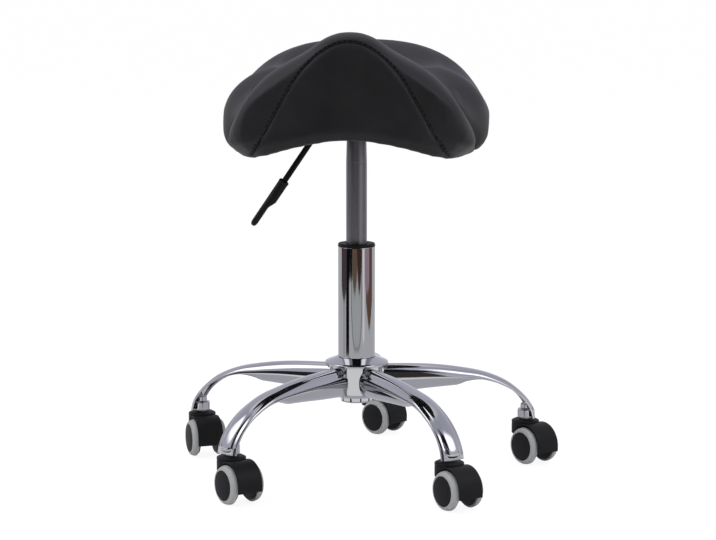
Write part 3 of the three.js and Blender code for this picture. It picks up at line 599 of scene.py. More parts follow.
def laid_on(line, mesh):
    """The line's points moved onto a mesh in metres, each with the surface's normal, in millimetres."""
    tree = BVHTree.FromPolygons([v.co for v in mesh.vertices], [p.vertices for p in mesh.polygons])
    laid = []
    for point in line:
        spot, normal, _, _ = tree.find_nearest(point * MM)
        laid.append((spot / MM, normal))
    return laid


def nearest_on(points, spots):
    """For each point, the nearest spot's number and its distance."""
    tree = KDTree(len(spots))
    for i, spot in enumerate(spots):
        tree.insert(spot, i)
    tree.balance()
    found = [tree.find(Vector(p)) for p in points]
    return np.array([number for _, number, _ in found]), np.array([distance for _, _, distance in found])


def seam_distances(points, lines):
    """Each point's distance to the nearest seam, in millimetres."""
    return nearest_on(points, [spot for line in lines for spot, _ in line])[1]


def coordinates_of(mesh):
    flat = np.zeros(len(mesh.vertices) * 3)
    mesh.vertices.foreach_get("co", flat)
    return flat.reshape(-1, 3) / MM


def set_coordinates(mesh, points):
    mesh.vertices.foreach_set("co", (points * MM).ravel())
    mesh.update()


def applied(piece):
    """The piece's mesh with its modifiers applied."""
    graph = bpy.context.evaluated_depsgraph_get()
    mesh = bpy.data.meshes.new_from_object(piece.evaluated_get(graph))
    piece.modifiers.clear()
    piece.data = mesh
    return mesh


def add_weights(piece, name, weights):
    group = piece.vertex_groups.new(name=name)
    for i, weight in enumerate(weights):
        group.add([i], float(weight), "REPLACE")


def add_smoothing(piece, steps, group=""):
    smoothing = piece.modifiers.new("smoothing", "SMOOTH")
    smoothing.factor = 0.5
    smoothing.iterations = steps
    smoothing.vertex_group = group


def swell(piece, held):
    """Lets the cover swell a little between its seams, as stretched upholstery does."""
    start = coordinates_of(piece.data)
    add_weights(piece, "held", held)
    cloth = piece.modifiers.new("cloth", "CLOTH")
    for key, value in CLOTH.items():
        setattr(cloth.settings, key, value)
    cloth.settings.effector_weights.gravity = 0
    cloth.point_cache.frame_end = SWELL_FRAMES
    for step in range(1, SWELL_FRAMES + 1):
        bpy.context.scene.frame_set(step)
    mesh = applied(piece)
    shift = coordinates_of(mesh) - start
    length = np.linalg.norm(shift, axis=1, keepdims=True)
    shift *= np.minimum(1, SWELL_CAP / np.maximum(length, 1e-6))
    set_coordinates(mesh, start + shift)
    bpy.context.scene.frame_set(1)
    return float(length.max())


def seat_form():
    """The seat's closed form a little inside its skin, so that it has room to swell."""
    rings = seat_rings(SWELL_ROOM)
    sides = OUTLINE_SIDES
    points = [tuple(p) for ring in rings for p in ring]
    faces = rings_to_faces(len(rings), sides, closed_ends=False)
    top, bottom = len(points), len(points) + 1
    points.append((0, 0, float(crown_height(np.array([0.0]), np.array([0.0]))[0]) - SWELL_ROOM))
    points.append((0, 0, BOARD_UNDER + INNER_RISE))
    last = (len(rings) - 1) * sides
    for side in range(sides):
        turn = (side + 1) % sides
        faces.append((top, turn, side))
        faces.append((bottom, last + side, last + turn))
    return points, faces


def softened_weights(x, y, z):
    """Where the form is smoothed once more: the front's sides and the lower edge."""
    front = smooth((-50 - y) / 40) * smooth((z - BOARD_UNDER + 30) / 30) * smooth((np.abs(x) - 30) / 40)
    lower_edge = smooth((cover_edge_height(x, y) + 16 - z) / 10) * (np.hypot(x, y) > 70)
    return np.maximum(front, lower_edge)


def held_weights(x, y, z, gap):
    """Where the cover can't swell: along the seams, at its edge and round the middle below."""
    under = np.clip((cover_edge_height(x, y) + HELD_EDGE - z) / HELD_EDGE_LENGTH, 0, 1)
    middle = (np.hypot(x, y) < HELD_MIDDLE) & (z < BOARD_UNDER + HELD_MIDDLE_RISE)
    return np.clip(np.maximum(bump(gap / HELD_WIDTH), np.maximum(under, middle)), 0, 1)


def seat_cover():
    """The padded seat under its sewn cover, closed below where the board shows, and its seams' lines."""
    covered = ["seat_cover", "seat_foam"]
    piece = add_form("seat_cover_sewn", seat_form(), leather, "seat", covered, NEVER_SHARP)
    remesh = piece.modifiers.new("remesh", "REMESH")
    remesh.mode = "VOXEL"
    remesh.voxel_size = REMESH_VOXEL * MM
    remesh.use_smooth_shade = True
    add_smoothing(piece, SMOOTHING_STEPS)
    mesh = applied(piece)
    add_weights(piece, "softened", softened_weights(*coordinates_of(mesh).T))
    add_smoothing(piece, SOFTENING_STEPS, "softened")
    mesh = applied(piece)
    lines = [smoothed_line(mirrored(seam), SEAM_STEP) for seam in (APRON_SEAM, SHOULDER_SEAM)]
    spots = coordinates_of(mesh)
    held = held_weights(*spots.T, seam_distances(spots, [laid_on(line, mesh) for line in lines]))
    print("swell", swell(piece, held))
    subdivided = piece.modifiers.new("finer", "SUBSURF")
    subdivided.levels = 1
    subdivided.render_levels = 1
    mesh = applied(piece)
    lines = [laid_on(line, mesh) for line in lines]
    shape_seams(mesh, lines)
    lines = [laid_on([spot for spot, _ in line], mesh) for line in lines]
    mesh.shade_smooth()
    if not mesh.materials:
        mesh.materials.append(leather)
    return lines


def shape_seams(mesh, lines):
    """Rounds the front bolster up beside the shoulder seam, and sinks both seams."""
    spots = coordinates_of(mesh)
    flat = np.zeros(len(mesh.vertices) * 3)
    mesh.vertices.foreach_get("normal", flat)
    normals = flat.reshape(-1, 3)
    shoulder = np.array([spot for spot, _ in lines[1]])
    apron_gap = seam_distances(spots, [lines[0]])
    nearest, shoulder_gap = nearest_on(spots, shoulder)
    x, y, z = spots.T
    ahead = y < shoulder[nearest, 1]
    outward = smooth((np.abs(x) - FADE_START) / FADE_LENGTH)
    on_apron = np.clip((normals[:, 1] + APRON_TURN) / APRON_TURN_LENGTH, 0, 1)
    above = smooth((z - cover_edge_height(x, y) - 4) / BOLSTER_FOOT)
    across = apron_gap + shoulder_gap
    round_share = (4 * apron_gap * shoulder_gap / np.maximum(across, 1) ** 2) ** BOLSTER_FULLNESS
    round_share *= np.minimum(1, across / BOLSTER_SPAN)
    bolster = BOLSTER_RISE * round_share * ahead * on_apron
    crease = CREASE_DEPTH * bump(shoulder_gap / CREASE_WIDTH) * ~ahead
    crease *= smooth((np.abs(x) - CREASE_START) / CREASE_LENGTH)
    valley = SEAM_DEPTH * bump(apron_gap / SEAM_HALF_WIDTH)
    valley += SHOULDER_SEAM_DEPTH * bump(shoulder_gap / SEAM_HALF_WIDTH) * outward
    rise = (bolster * outward - crease) * above - valley
    set_coordinates(mesh, spots + normals * rise[:, None])
    line = bump(np.minimum(apron_gap, shoulder_gap + 4 * (1 - outward)) / SEAM_LINE_WIDTH)
    mesh.attributes.new("seam_depth", "FLOAT", "POINT").data.foreach_set("value", line.astype(np.float32))


def seam_shade_cord(line, radius, start=0, shift=0):
    """A black cord of painted shade sunk in a seam's crease, on each side from a distance off the middle, shifted to
    the rear.
    """
    parts = []
    for side in (-1, 1):
        run = [(spot, normal) for spot, normal in line if spot.x * side >= start]
        if len(run) > 3:
            path = [spot - normal * (radius * SUNK_SHARE) + Vector((0, shift, 0)) for spot, normal in run]
            parts.append(swept(path, radius, THREAD_SIDES))
    return joined(parts)


def stitching(line):
    """Top stitches beside a seam, each a short thread whose ends sink into the cover."""
    parts = []
    per_stitch = STITCH_PITCH / SEAM_STEP
    count = int((len(line) - 1) / per_stitch)
    for k in range(count):
        centre = (k + 0.5) * per_stitch
        path = []
        for share in STITCH_SHARES:
            at = min(max(centre + share * STITCH_LENGTH / SEAM_STEP, 0), len(line) - 1.001)
            i = int(at)
            spot = line[i][0].lerp(line[i + 1][0], at - i)
            normal = line[i][1].lerp(line[i + 1][1], at - i).normalized()
            ahead = (line[i + 1][0] - line[i][0]).normalized()
            aside = normal.cross(ahead).normalized()
            sunk = STITCH_SUNK if abs(share) == STITCH_SHARES[-1] else STITCH_PROUD
            path.append(spot + aside * STITCH_OFFSET + normal * sunk)
        parts.append(swept(path, STITCH_RADIUS, THREAD_SIDES))
    return joined(parts)


def hem_staples():
    """Staples that hold the hem to the board."""
    rim_x, rim_y = seat_outline(STAPLE_COUNT)
    away = np.hypot(rim_x, rim_y)
    share = (HEM_SHARE + 1) / 2 - 0.01
    edge = (away - BOARD_INSET) * share
    height = mix(BOARD_UNDER, board_edge_height(rim_x, rim_y), board_bend(share)) - HEM_DROP - 1.2
    parts = []
    for i in range(len(rim_x)):
        spot = Vector((rim_x[i] / away[i] * edge[i], rim_y[i] / away[i] * edge[i], height[i]))
        along = Vector((-rim_y[i], rim_x[i], 0)).normalized() * STAPLE_HALF_LENGTH
        up = Vector((0, 0, STAPLE_LEG))
        parts.append(swept([spot - along + up, spot - along, spot + along, spot + along + up], STAPLE_RADIUS, 6))
    return joined(parts)


apron_line, shoulder_line = seat_cover()
# The stitching is real thread; the seam cords are painted shade in the creases
for name, form in (
    ("seat_stitching", stitching(apron_line)),
    ("apron_seam_painted_shade", seam_shade_cord(apron_line, SEAM_SHADE_RADIUS)),
    ("shoulder_seam_painted_shade", seam_shade_cord(shoulder_line, SHOULDER_SHADE_RADIUS, SHOULDER_SHADE_START, SHOULDER_SHADE_SHIFT)),
):
    add_form(name, form, black_thread_and_painted_shade, "seat", sharp=NEVER_SHARP)
add_form("hem_staples", hem_staples(), plated_steel, "seat")

# ---- Legs

LEG_HALF_WIDTH = 16.5
LEG_FOOT_OUTSIDE = 14.7
LEG_FOOT_INSIDE = 9.8
LEG_UPPER = [(0, 1), (0.175, 0.985), (0.345, 0.954), (0.52, 0.886), (0.677, 0.788),
             (0.811, 0.626), (0.917, 0.395), (0.979, 0.172), (1, 0)]
LEG_LOWER = [(0, 0.514), (0.197, 0.537), (0.379, 0.568), (0.551, 0.592), (0.691, 0.596),
             (0.81, 0.535), (0.904, 0.389), (0.964, 0.19), (1, 0)]
LEG_WIDTHS = [0.93, 0.97, 1, 1, 1, 1, 1, 1, 1]
# Depth of the side walls: place along the leg, depth under its top line
LEG_WALLS = [(0, 20), (0.25, 17), (0.4, 15), (0.52, 12.6), (0.64, 10.4), (0.76, 8.8), (1, 8.6)]
LEG_START = 33
LEG_SHEET = 2
LEG_LIP = 1.8
OPENING_START = 0.36
OPENING_LENGTH = 0.16
CROWN_RISE = 3.6
CROWN_SHARE = 0.66
CROWN_START = 0.42
CROWN_LENGTH = 0.2
CROWN_ROUNDING = 0.9
CROWN_END = 0.968
HOUSING_RADIUS = 11
HOUSING_HEIGHT = 11.5
STEM_COVER_RADIUS = 7
STEM_COVER_HEIGHT = 19


def along_line(points, at):
    """The point at a share of a smooth line through the given points."""
    return spline([Vector(p) for p in points], at * (len(points) - 1))


def leg_edge(shares, foot):
    return [(mix(LEG_START, foot, out), mix(FOOT_HEIGHT, ROOT_TOP, up)) for out, up in shares]


def leg_section(along, deep):
    """Closed outline of a leg's section as (across, down) pairs, down from its top line."""
    wide = LEG_HALF_WIDTH * along_line([(w, 0) for w in LEG_WIDTHS], along).x
    wall = float(np.interp(along + np.linspace(-0.06, 0.06, 7), *zip(*LEG_WALLS)).mean())
    wall = min(wall, deep / 2)
    crowned = float(smooth((along - CROWN_START) / CROWN_LENGTH))
    square = mix(2.1, 4.2, float(smooth((along - 0.35) / 0.4)))
    lowered = CROWN_RISE * crowned
    turn = np.linspace(-1, 1, 65) * math.pi / 2
    across = np.sign(turn) * np.abs(np.sin(turn)) ** 0.9
    base = lowered + (wall - lowered) * (1 - (1 - np.abs(across) ** square) ** (1 / square))
    ending = max(0.0, (along - CROWN_ROUNDING) / (CROWN_END - CROWN_ROUNDING))
    dome = np.maximum(0, 1 - (np.abs(across) / CROWN_SHARE) ** 2.4 - ending ** 2.4) ** 0.6
    top = list(zip(wide * across, base - lowered * dome))
    opened = float(smooth((along - OPENING_START) / OPENING_LENGTH))
    inner = (wide - LEG_LIP) / wide
    roof = lowered + LEG_SHEET
    lip = [(1, -0.5), (1 - 0.2 / wide, -0.15), (1 - 0.6 / wide, 0), (inner + 0.6 / wide, 0),
           (inner + 0.2 / wide, -0.15)]
    turn = np.linspace(1, 0, 22) * math.pi / 2
    hollow = [(inner * math.sin(t), None) for t in turn]
    half = []
    for share, sunk in lip + hollow:
        belly = wall + (deep - wall) * max(0.0, 1 - share ** 2.3) ** (1 / 2.3)
        if sunk is None:
            within = min(1.0, share / inner)
            recess = roof + (wall - 0.5 - roof) * (1 - max(0.0, 1 - within ** square) ** (1 / square))
        else:
            recess = wall + sunk
        half.append((wide * share, mix(belly, recess, opened)))
    left = [(-x, down) for x, down in reversed(half[:-1])]
    return top[:-1] + half + left[:-1]


def leg_mesh(stem_radius):
    """A leg along +X: deep closed root, then an open channel with a raised crown down to the foot."""
    upper = leg_edge(LEG_UPPER, stem_radius + LEG_FOOT_OUTSIDE)
    lower = leg_edge(LEG_LOWER, stem_radius - LEG_FOOT_INSIDE)
    parts = ((0, 0.4, 24, False), (0.4, 0.86, 40, False), (0.86, 1, 40, True))
    stations = np.concatenate([np.linspace(*part) for part in parts])
    points, top_line = [], []
    for along in stations:
        top, bottom = along_line(upper, along), along_line(lower, along)
        down = bottom - top
        deep = down.length
        down.normalize()
        top_line.append(top)
        section = leg_section(float(along), deep)
        for across, depth in section:
            spot = top + down * float(depth)
            points.append((spot.x, float(across), spot.y))
    leg = (points, rings_to_faces(len(stations), len(section)))
    foot = FOOT_HEIGHT
    housing, faces = turned([
        (5.2, foot - 0.1), (HOUSING_RADIUS, foot - 0.1, 0.6), (HOUSING_RADIUS, foot + HOUSING_HEIGHT, 2.2),
        (STEM_COVER_RADIUS, foot + HOUSING_HEIGHT + 1, 0.8), (STEM_COVER_RADIUS, foot + STEM_COVER_HEIGHT, 1.5),
        (0.1, foot + STEM_COVER_HEIGHT + 0.4), (0.1, foot + STEM_COVER_HEIGHT - 0.6),
        (5.2, foot + STEM_COVER_HEIGHT - 0.6),
    ], 48)
    heights = [p.y for p in reversed(top_line)]
    reaches = [p.x for p in reversed(top_line)]
    fitted = []
    for x, y, z in housing:
        limit = float(np.interp(z, heights, reaches)) - CROWN_RISE - 1 - stem_radius
        fitted.append((min(x, limit) + stem_radius, y, z))
    return make_mesh("leg", *joined([leg, (fitted, faces)]), 50)


stems = {}
for number in range(1, 6):
    low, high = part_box(f"caster_stem_{number}")
    stems[number] = Vector(((low.x + high.x) / 2, (low.y + high.y) / 2, 0)) - AXIS
leg_shape = leg_mesh(stems[1].length / MM)
for number, stem in stems.items():
    place = Matrix.Translation(AXIS) @ Matrix.Rotation(math.atan2(stem.y, stem.x), 4, "Z")
    add_piece(f"leg_chromed_{number}", leg_shape, chrome, "base", [f"leg_{number}"], place)

# ---- Hub, column and gas lift

HUB_RADIUS = 37
HUB_RIM_RADIUS = 43.3
HUB_BORE = 18.2
RIM_UNDER = ROOT_TOP + 1.5
RIM_TOP = RIM_UNDER + 3
RING_RADIUS = 21.5
COLUMN_RADIUS = 25
COLUMN_BORE = 23.4
ROD_HOLE = 5.4
NECK_RADIUS = 17.6
SLEEVE_BORE = 14.35
SLEEVE_RADIUS = 22.8
COLLAR_RADIUS = 25.4
CYLINDER_RADIUS = 14
CYLINDER_BORE = 11.6
TAPER_START = CYLINDER_TOP - 54.7
TAPER_RADIUS = 12.6
VALVE_BORE = 3.3
CAP_HEIGHT = 16

add_form("hub_chromed", turned([
    (HUB_BORE, HUB_BOTTOM, 0.4), (RING_RADIUS, HUB_BOTTOM, 1.4), (RING_RADIUS, BARREL_BOTTOM - 0.2, 0.8),
    (HUB_RADIUS - 3, BARREL_BOTTOM, 0.8), (HUB_RADIUS, BARREL_BOTTOM + 3.5, 2), (HUB_RADIUS, RIM_UNDER, 0.6),
    (HUB_RIM_RADIUS, RIM_UNDER, 0.8), (HUB_RIM_RADIUS, RIM_TOP, 1.6), (41.4, RIM_TOP + 1.6, 1.5),
    (33.2, RIM_TOP + 4.6, 6), (26.2, HUB_TOP - 0.3, 0.6), (25.4, HUB_TOP - 1.2), (20, HUB_TOP - 9.8),
    (HUB_BORE, HUB_BOTTOM + 2),
], 160), chrome, "base", ["hub"])
add_form("column_chromed", turned([
    (ROD_HOLE, HUB_BOTTOM), (NECK_RADIUS, HUB_BOTTOM, 0.6), (19.3, HUB_TOP - 10), (COLUMN_RADIUS, HUB_TOP - 0.2),
    (COLUMN_RADIUS, COLUMN_TOP, 0.5), (COLUMN_BORE, COLUMN_TOP, 0.3), (COLUMN_BORE, HUB_TOP + 3),
    (17, HUB_TOP - 8), (ROD_HOLE, HUB_BOTTOM + 3),
], 160), chrome, "base", ["column_tube"])
add_form("collar_moulded", turned([
    (SLEEVE_BORE, SLEEVE_BOTTOM), (SLEEVE_RADIUS, SLEEVE_BOTTOM, 0.5), (SLEEVE_RADIUS, COLUMN_TOP + 0.3),
    (COLLAR_RADIUS, COLUMN_TOP + 0.3, 0.5), (COLLAR_RADIUS, SLEEVE_TOP - 3, 0.4), (24.9, SLEEVE_TOP - 2.6, 0.3),
    (24.9, SLEEVE_TOP, 1.3), (16.6, SLEEVE_TOP, 0.6), (SLEEVE_BORE, SLEEVE_TOP - 1.5, 0.5),
], 128), black_plastic, "base", ["guide_sleeve"])
add_form("cylinder_ground", turned([
    (9, CYLINDER_BOTTOM), (CYLINDER_RADIUS, CYLINDER_BOTTOM, 1.2), (CYLINDER_RADIUS, TAPER_START - 0.6, 0.2),
    (13.85, TAPER_START - 0.3), (13.85, TAPER_START + 0.3), (CYLINDER_RADIUS - 0.02, TAPER_START + 0.7),
    (TAPER_RADIUS, CYLINDER_TOP, 0.8), (VALVE_BORE, CYLINDER_TOP), (VALVE_BORE, CYLINDER_TOP - CAP_HEIGHT),
    (CYLINDER_BORE, CYLINDER_TOP - CAP_HEIGHT), (CYLINDER_BORE, CYLINDER_BOTTOM + 2), (9, CYLINDER_BOTTOM + 2),
], 128), satin_steel, "seat", ["gas_cylinder"])

# ---- Lever

LEVER_HEIGHT = joints["lever_pull"]["pos_m"][2] / MM
LEVER_SLOPE = 34
LEVER_STRAIGHT = 36
LEVER_ROD_LENGTH = 109
LEVER_RADIUS = 4
GRIP_LENGTH = 75
GRIP_RADIUS = 6.9
GRIP_BLADE_THICKNESS = 9
GRIP_BLADE_WIDTH = 17
GRIP_STATIONS = 72
GRIP_SIDES = 40
LEVER_BEND = 10
LEVER_PAST_VALVE = 9
LEVER_IN_GRIP = 20
LEVER_PIVOT = 26
TRUNNION_RADIUS = 2.5
TRUNNION_REACH = 10

lever_down = Vector((-math.sin(math.radians(LEVER_SLOPE)), 0, -math.cos(math.radians(LEVER_SLOPE))))
lever_out = Vector((lever_down.z, 0, -lever_down.x))
lever_bend = Vector((-LEVER_STRAIGHT, 0, LEVER_HEIGHT))
grip_start = lever_bend + lever_down * LEVER_ROD_LENGTH


def lever_rod():
    """Bent round bar with the trunnion that it tips on."""
    start, end = lever_bend + Vector((LEVER_BEND, 0, 0)), lever_bend + lever_down * LEVER_BEND
    path = [Vector((LEVER_PAST_VALVE, 0, LEVER_HEIGHT)), start.copy()]
    for k in range(1, 12):
        t = k / 12
        path.append(start * (1 - t) ** 2 + lever_bend * 2 * t * (1 - t) + end * t ** 2)
    path.extend([end, grip_start + lever_down * LEVER_IN_GRIP])
    trunnion = turned([
        (TRUNNION_RADIUS, -TRUNNION_REACH, 0.3), (TRUNNION_RADIUS, TRUNNION_REACH, 0.3), (0, TRUNNION_REACH),
        (0, -TRUNNION_REACH),
    ], 24, across=True)
    return joined([swept(path, LEVER_RADIUS, 32), moved(trunnion, x=-LEVER_PIVOT, z=LEVER_HEIGHT)])


def lever_grip():
    """Moulded grip: a collar lip, a round barrel, then a flat blade with a round tip."""
    rings = []
    for k in range(GRIP_STATIONS + 1):
        along = k / GRIP_STATIONS
        flat = float(smooth((along - 0.4) / 0.2))
        tip = math.sqrt(max(0, 1 - (max(0, along - 0.9) / 0.1) ** 2))
        lip = 0.5 * float(bump((along - 0.03) / 0.02)) - 1.2 * float(bump(along / 0.012))
        thick = (mix(GRIP_RADIUS, GRIP_BLADE_THICKNESS / 2, flat) + lip) * mix(0.3, 1, tip)
        wide = (mix(GRIP_RADIUS, GRIP_BLADE_WIDTH / 2, flat) + lip) * mix(0.3, 1, tip)
        shift = (GRIP_RADIUS - GRIP_BLADE_THICKNESS / 2) * flat
        centre = grip_start + lever_down * (along * GRIP_LENGTH) + lever_out * shift
        square = mix(2, 3, flat)
        ring = []
        for side in range(GRIP_SIDES):
            turn = 2 * math.pi * side / GRIP_SIDES
            point = centre + lever_out * thick * float(power(math.cos(turn), 2 / square))
            point.y += wide * float(power(math.sin(turn), 2 / square))
            ring.append(tuple(point))
        rings.append(ring)
    return [p for ring in rings for p in ring], rings_to_faces(len(rings), GRIP_SIDES)


add_form("lever_rod_coated", lever_rod(), black_steel, "lever", ["lever_rod"])
add_form("lever_grip_moulded", lever_grip(), black_plastic, "lever", ["lever_grip"], 50)

# ---- Casters, about the stem's axis with the trail along +X

TRAIL = (Vector(joints["wheel_spin_left_1"]["pos_m"]) - AXIS - stems[1]).to_2d().length / MM
AXLE_HEIGHT = joints["wheel_spin_left_1"]["pos_m"][2] / MM
BOSS_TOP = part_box("caster_hood_1")[1].z / MM
BOSS_RADIUS = 19
BOSS_HEIGHT = 20.4
HOOD_INSIDE = 28.2
HOOD_OUTSIDE = 29.8
HOOD_HALF_WIDTH = 18
HOOD_TRAILING = -13
HOOD_LEADING = 120
HOOD_STEPS = 56
WEB_STEPS = 48
WEB_PAST_LEVEL = 0.21
WEB_HALF_THICKNESS = 2.5
STEM_HOLE = 5.4
TYRE_INNER_FACE = 14.8
TYRE_OUTER_FACE = 24.2
TYRE_SEAT = 19.9


def hood_shape():
    """Fender over both wheels, middle web, and the boss that takes the stem."""
    section = filleted([
        (HOOD_INSIDE, -HOOD_HALF_WIDTH, 0.4), (HOOD_OUTSIDE, -HOOD_HALF_WIDTH, 1.1),
        (HOOD_OUTSIDE, HOOD_HALF_WIDTH, 1.1), (HOOD_INSIDE, HOOD_HALF_WIDTH, 0.4),
    ])
    rings = []
    for k in range(HOOD_STEPS + 1):
        turn = math.radians(mix(HOOD_TRAILING, HOOD_LEADING, k / HOOD_STEPS))
        lip = 0.6 * float(bump(k / 1.4))
        ring = []
        for radius, y in section:
            out = radius + (lip if radius > HOOD_INSIDE + 0.8 else 0)
            ring.append((TRAIL + out * math.cos(turn), y, AXLE_HEIGHT + out * math.sin(turn)))
        rings.append(ring)
    fender = ([p for ring in rings for p in ring], rings_to_faces(len(rings), len(section)))
    web_outline = []
    web_radius = (HOOD_INSIDE + HOOD_OUTSIDE) / 2
    for k in range(WEB_STEPS + 1):
        turn = mix(-WEB_PAST_LEVEL, math.pi + WEB_PAST_LEVEL, k / WEB_STEPS)
        web_outline.append((TRAIL + web_radius * math.cos(turn), AXLE_HEIGHT + web_radius * math.sin(turn)))
    web_sides = (-WEB_HALF_THICKNESS, WEB_HALF_THICKNESS)
    web = ([(x, y, z) for y in web_sides for x, z in web_outline], rings_to_faces(2, len(web_outline)))
    bottom = BOSS_TOP - BOSS_HEIGHT
    boss, boss_faces = turned([
        (STEM_HOLE, bottom), (8, bottom), (10.5, bottom), (13, bottom), (15.5, bottom), (BOSS_RADIUS, bottom, 1.5),
        (BOSS_RADIUS, bottom + 4), (BOSS_RADIUS, bottom + 8), (BOSS_RADIUS, BOSS_TOP - 7.4, 0.3),
        (BOSS_RADIUS - 0.5, BOSS_TOP - 6.9, 0.2), (BOSS_RADIUS - 0.5, BOSS_TOP - 6.1, 0.2),
        (BOSS_RADIUS, BOSS_TOP - 5.6, 0.3), (BOSS_RADIUS, BOSS_TOP - 2.2, 0.6), (BOSS_RADIUS - 4, BOSS_TOP - 0.2, 1),
        (8.2, BOSS_TOP, 0.4), (STEM_HOLE, BOSS_TOP - 1, 0.3),
    ], 80)
    carved = []
    for x, y, z in boss:
        within = HOOD_INSIDE ** 2 - (x - TRAIL) ** 2
        if abs(y) > WEB_HALF_THICKNESS and within > 0:
            z = max(z, AXLE_HEIGHT + math.sqrt(within))
        carved.append((x, y, z))
    low, high = BOSS_TOP - 27, BOSS_TOP - 5
    housing = turned([(STEM_HOLE, low), (9, low, 1), (9, high), (STEM_HOLE, high)], 40)
    return make_mesh("caster_hood", *joined([fender, web, (carved, boss_faces), housing]), sharp=40)


def wheel_part(name, profile, side, sharp):
    """A turned part of the wheel on one side of its caster."""
    part = turned([(radius, y * side, *rest) for radius, y, *rest in profile], 96, across=True)
    return make_mesh(name, *part, sharp)


def tyre_shape(side):
    """Soft tyre, crowned towards its inner edge and rounding away to the cap."""
    tread = AXLE_HEIGHT - 0.05
    profile = [(TYRE_SEAT, TYRE_INNER_FACE), (tread - 1.3, TYRE_INNER_FACE, 0.6), (tread, TYRE_INNER_FACE + 1, 0.7)]
    start, end = TYRE_INNER_FACE + 1.9, TYRE_OUTER_FACE + 0.2
    for k in range(15):
        turn = k / 14 * math.pi / 2
        profile.append((mix(TYRE_SEAT, tread, math.cos(turn) ** 0.9), mix(start, end, math.sin(turn) ** 1.1)))
    profile.append((TYRE_SEAT - 0.2, TYRE_OUTER_FACE))
    return wheel_part("tyre", profile, side, 50)


def core_shape(side):
    """Wheel core: hub, inner web and the smooth domed cap."""
    seat, rim = TYRE_SEAT - 0.3, TYRE_OUTER_FACE
    flange = TYRE_INNER_FACE - 0.3
    return wheel_part("wheel_core", [
        (3.4, 3.2), (6.5, 3.2, 0.5), (6.5, flange - 3, 1), (20.5, flange - 2, 0.5), (22.9, flange - 1.6, 0.5),
        (22.9, flange, 0.4), (seat, flange), (seat, rim - 0.1, 0.3), (seat - 0.6, rim + 0.5, 0.4),
        (seat - 1.3, rim + 0.3, 0.3), (10, rim + 1.3, 8), (0.01, rim + 1.6), (0.01, rim - 2.9), (3.4, rim - 2.9),
    ], side, 40)


hood = hood_shape()
tyres = {"left": tyre_shape(-1), "right": tyre_shape(1)}
cores = {"left": core_shape(-1), "right": core_shape(1)}
for number, stem in stems.items():
    axle = joints[f"wheel_spin_left_{number}"]
    way = Vector(axle["pos_m"]) - AXIS - stem
    turn = Matrix.Rotation(math.atan2(way.y, way.x), 4, "Z")
    at_stem = Matrix.Translation(AXIS + stem) @ turn
    at_axle = at_stem @ Matrix.Translation((TRAIL * MM, 0, AXLE_HEIGHT * MM))
    add_piece(f"hood_moulded_{number}", hood, black_plastic, f"caster_{number}",
              [f"caster_hood_{number}"], at_stem)
    for label in ("left", "right"):
        body = f"wheel_{label}_{number}"
        add_piece(f"tyre_{label}_soft_{number}", tyres[label], grey_tyre, body,
                  [f"tyre_{label}_{number}"], at_axle)
        add_piece(f"core_{label}_moulded_{number}", cores[label], black_plastic, body,
                  [f"wheel_core_{label}_{number}"], at_axle)

# ---- Finishes on the CAD nodes that stay

# The others are plated steel
KEPT = {
    "seat_board": plywood, "seat_plate": black_steel, "rubber_buffer": black_rubber, "cylinder_gland": black_plastic,
}
KEPT_EDGE = 0.4
for name, node in frame["nodes"].items():
    if node.hide_render:
        continue
    node.data.materials.clear()
    node.data.materials.append(KEPT.get(name, plated_steel))
    edge = node.modifiers.new("edge", "BEVEL")
    edge.width = KEPT_EDGE * MM
    edge.segments = 2
    edge.limit_method = "ANGLE"
    edge.angle_limit = math.radians(50)

# ---- Studio


def plain_light_rays(tree):
    """1 for camera, glossy and transmission rays, which see the white backdrop."""
    path = add_node(tree, "ShaderNodeLightPath").outputs
    seen = larger(tree, path["Is Camera Ray"], path["Is Glossy Ray"])
    return larger(tree, seen, path["Is Transmission Ray"])


def floor_material():
    """White sweep: mostly its own white for what sees it, with the stool's shadow left in."""
    material, tree, shader = new_material("white_sweep")
    place = coordinates(tree)
    noise = add_node(tree, "ShaderNodeTexNoise", Scale=3, Detail=2)
    link(tree, place, noise.inputs["Vector"])
    tinted(tree, shader, noise.outputs["Fac"], (0.86, 0.86, 0.86), (0.88, 0.88, 0.88))
    shader.inputs["Roughness"].default_value = 0.9
    shader.inputs["Specular IOR Level"].default_value = 0
    glow = add_node(tree, "ShaderNodeEmission", Strength=1.04)
    share = add_node(tree, "ShaderNodeMath", operation="MULTIPLY")
    share.inputs[1].default_value = 0.88
    link(tree, plain_light_rays(tree), share.inputs[0])
    blend = mixed(tree, share.outputs[0], shader.outputs[0], glow.outputs[0])
    link(tree, blend, tree.nodes["Material Output"].inputs["Surface"])
    return material


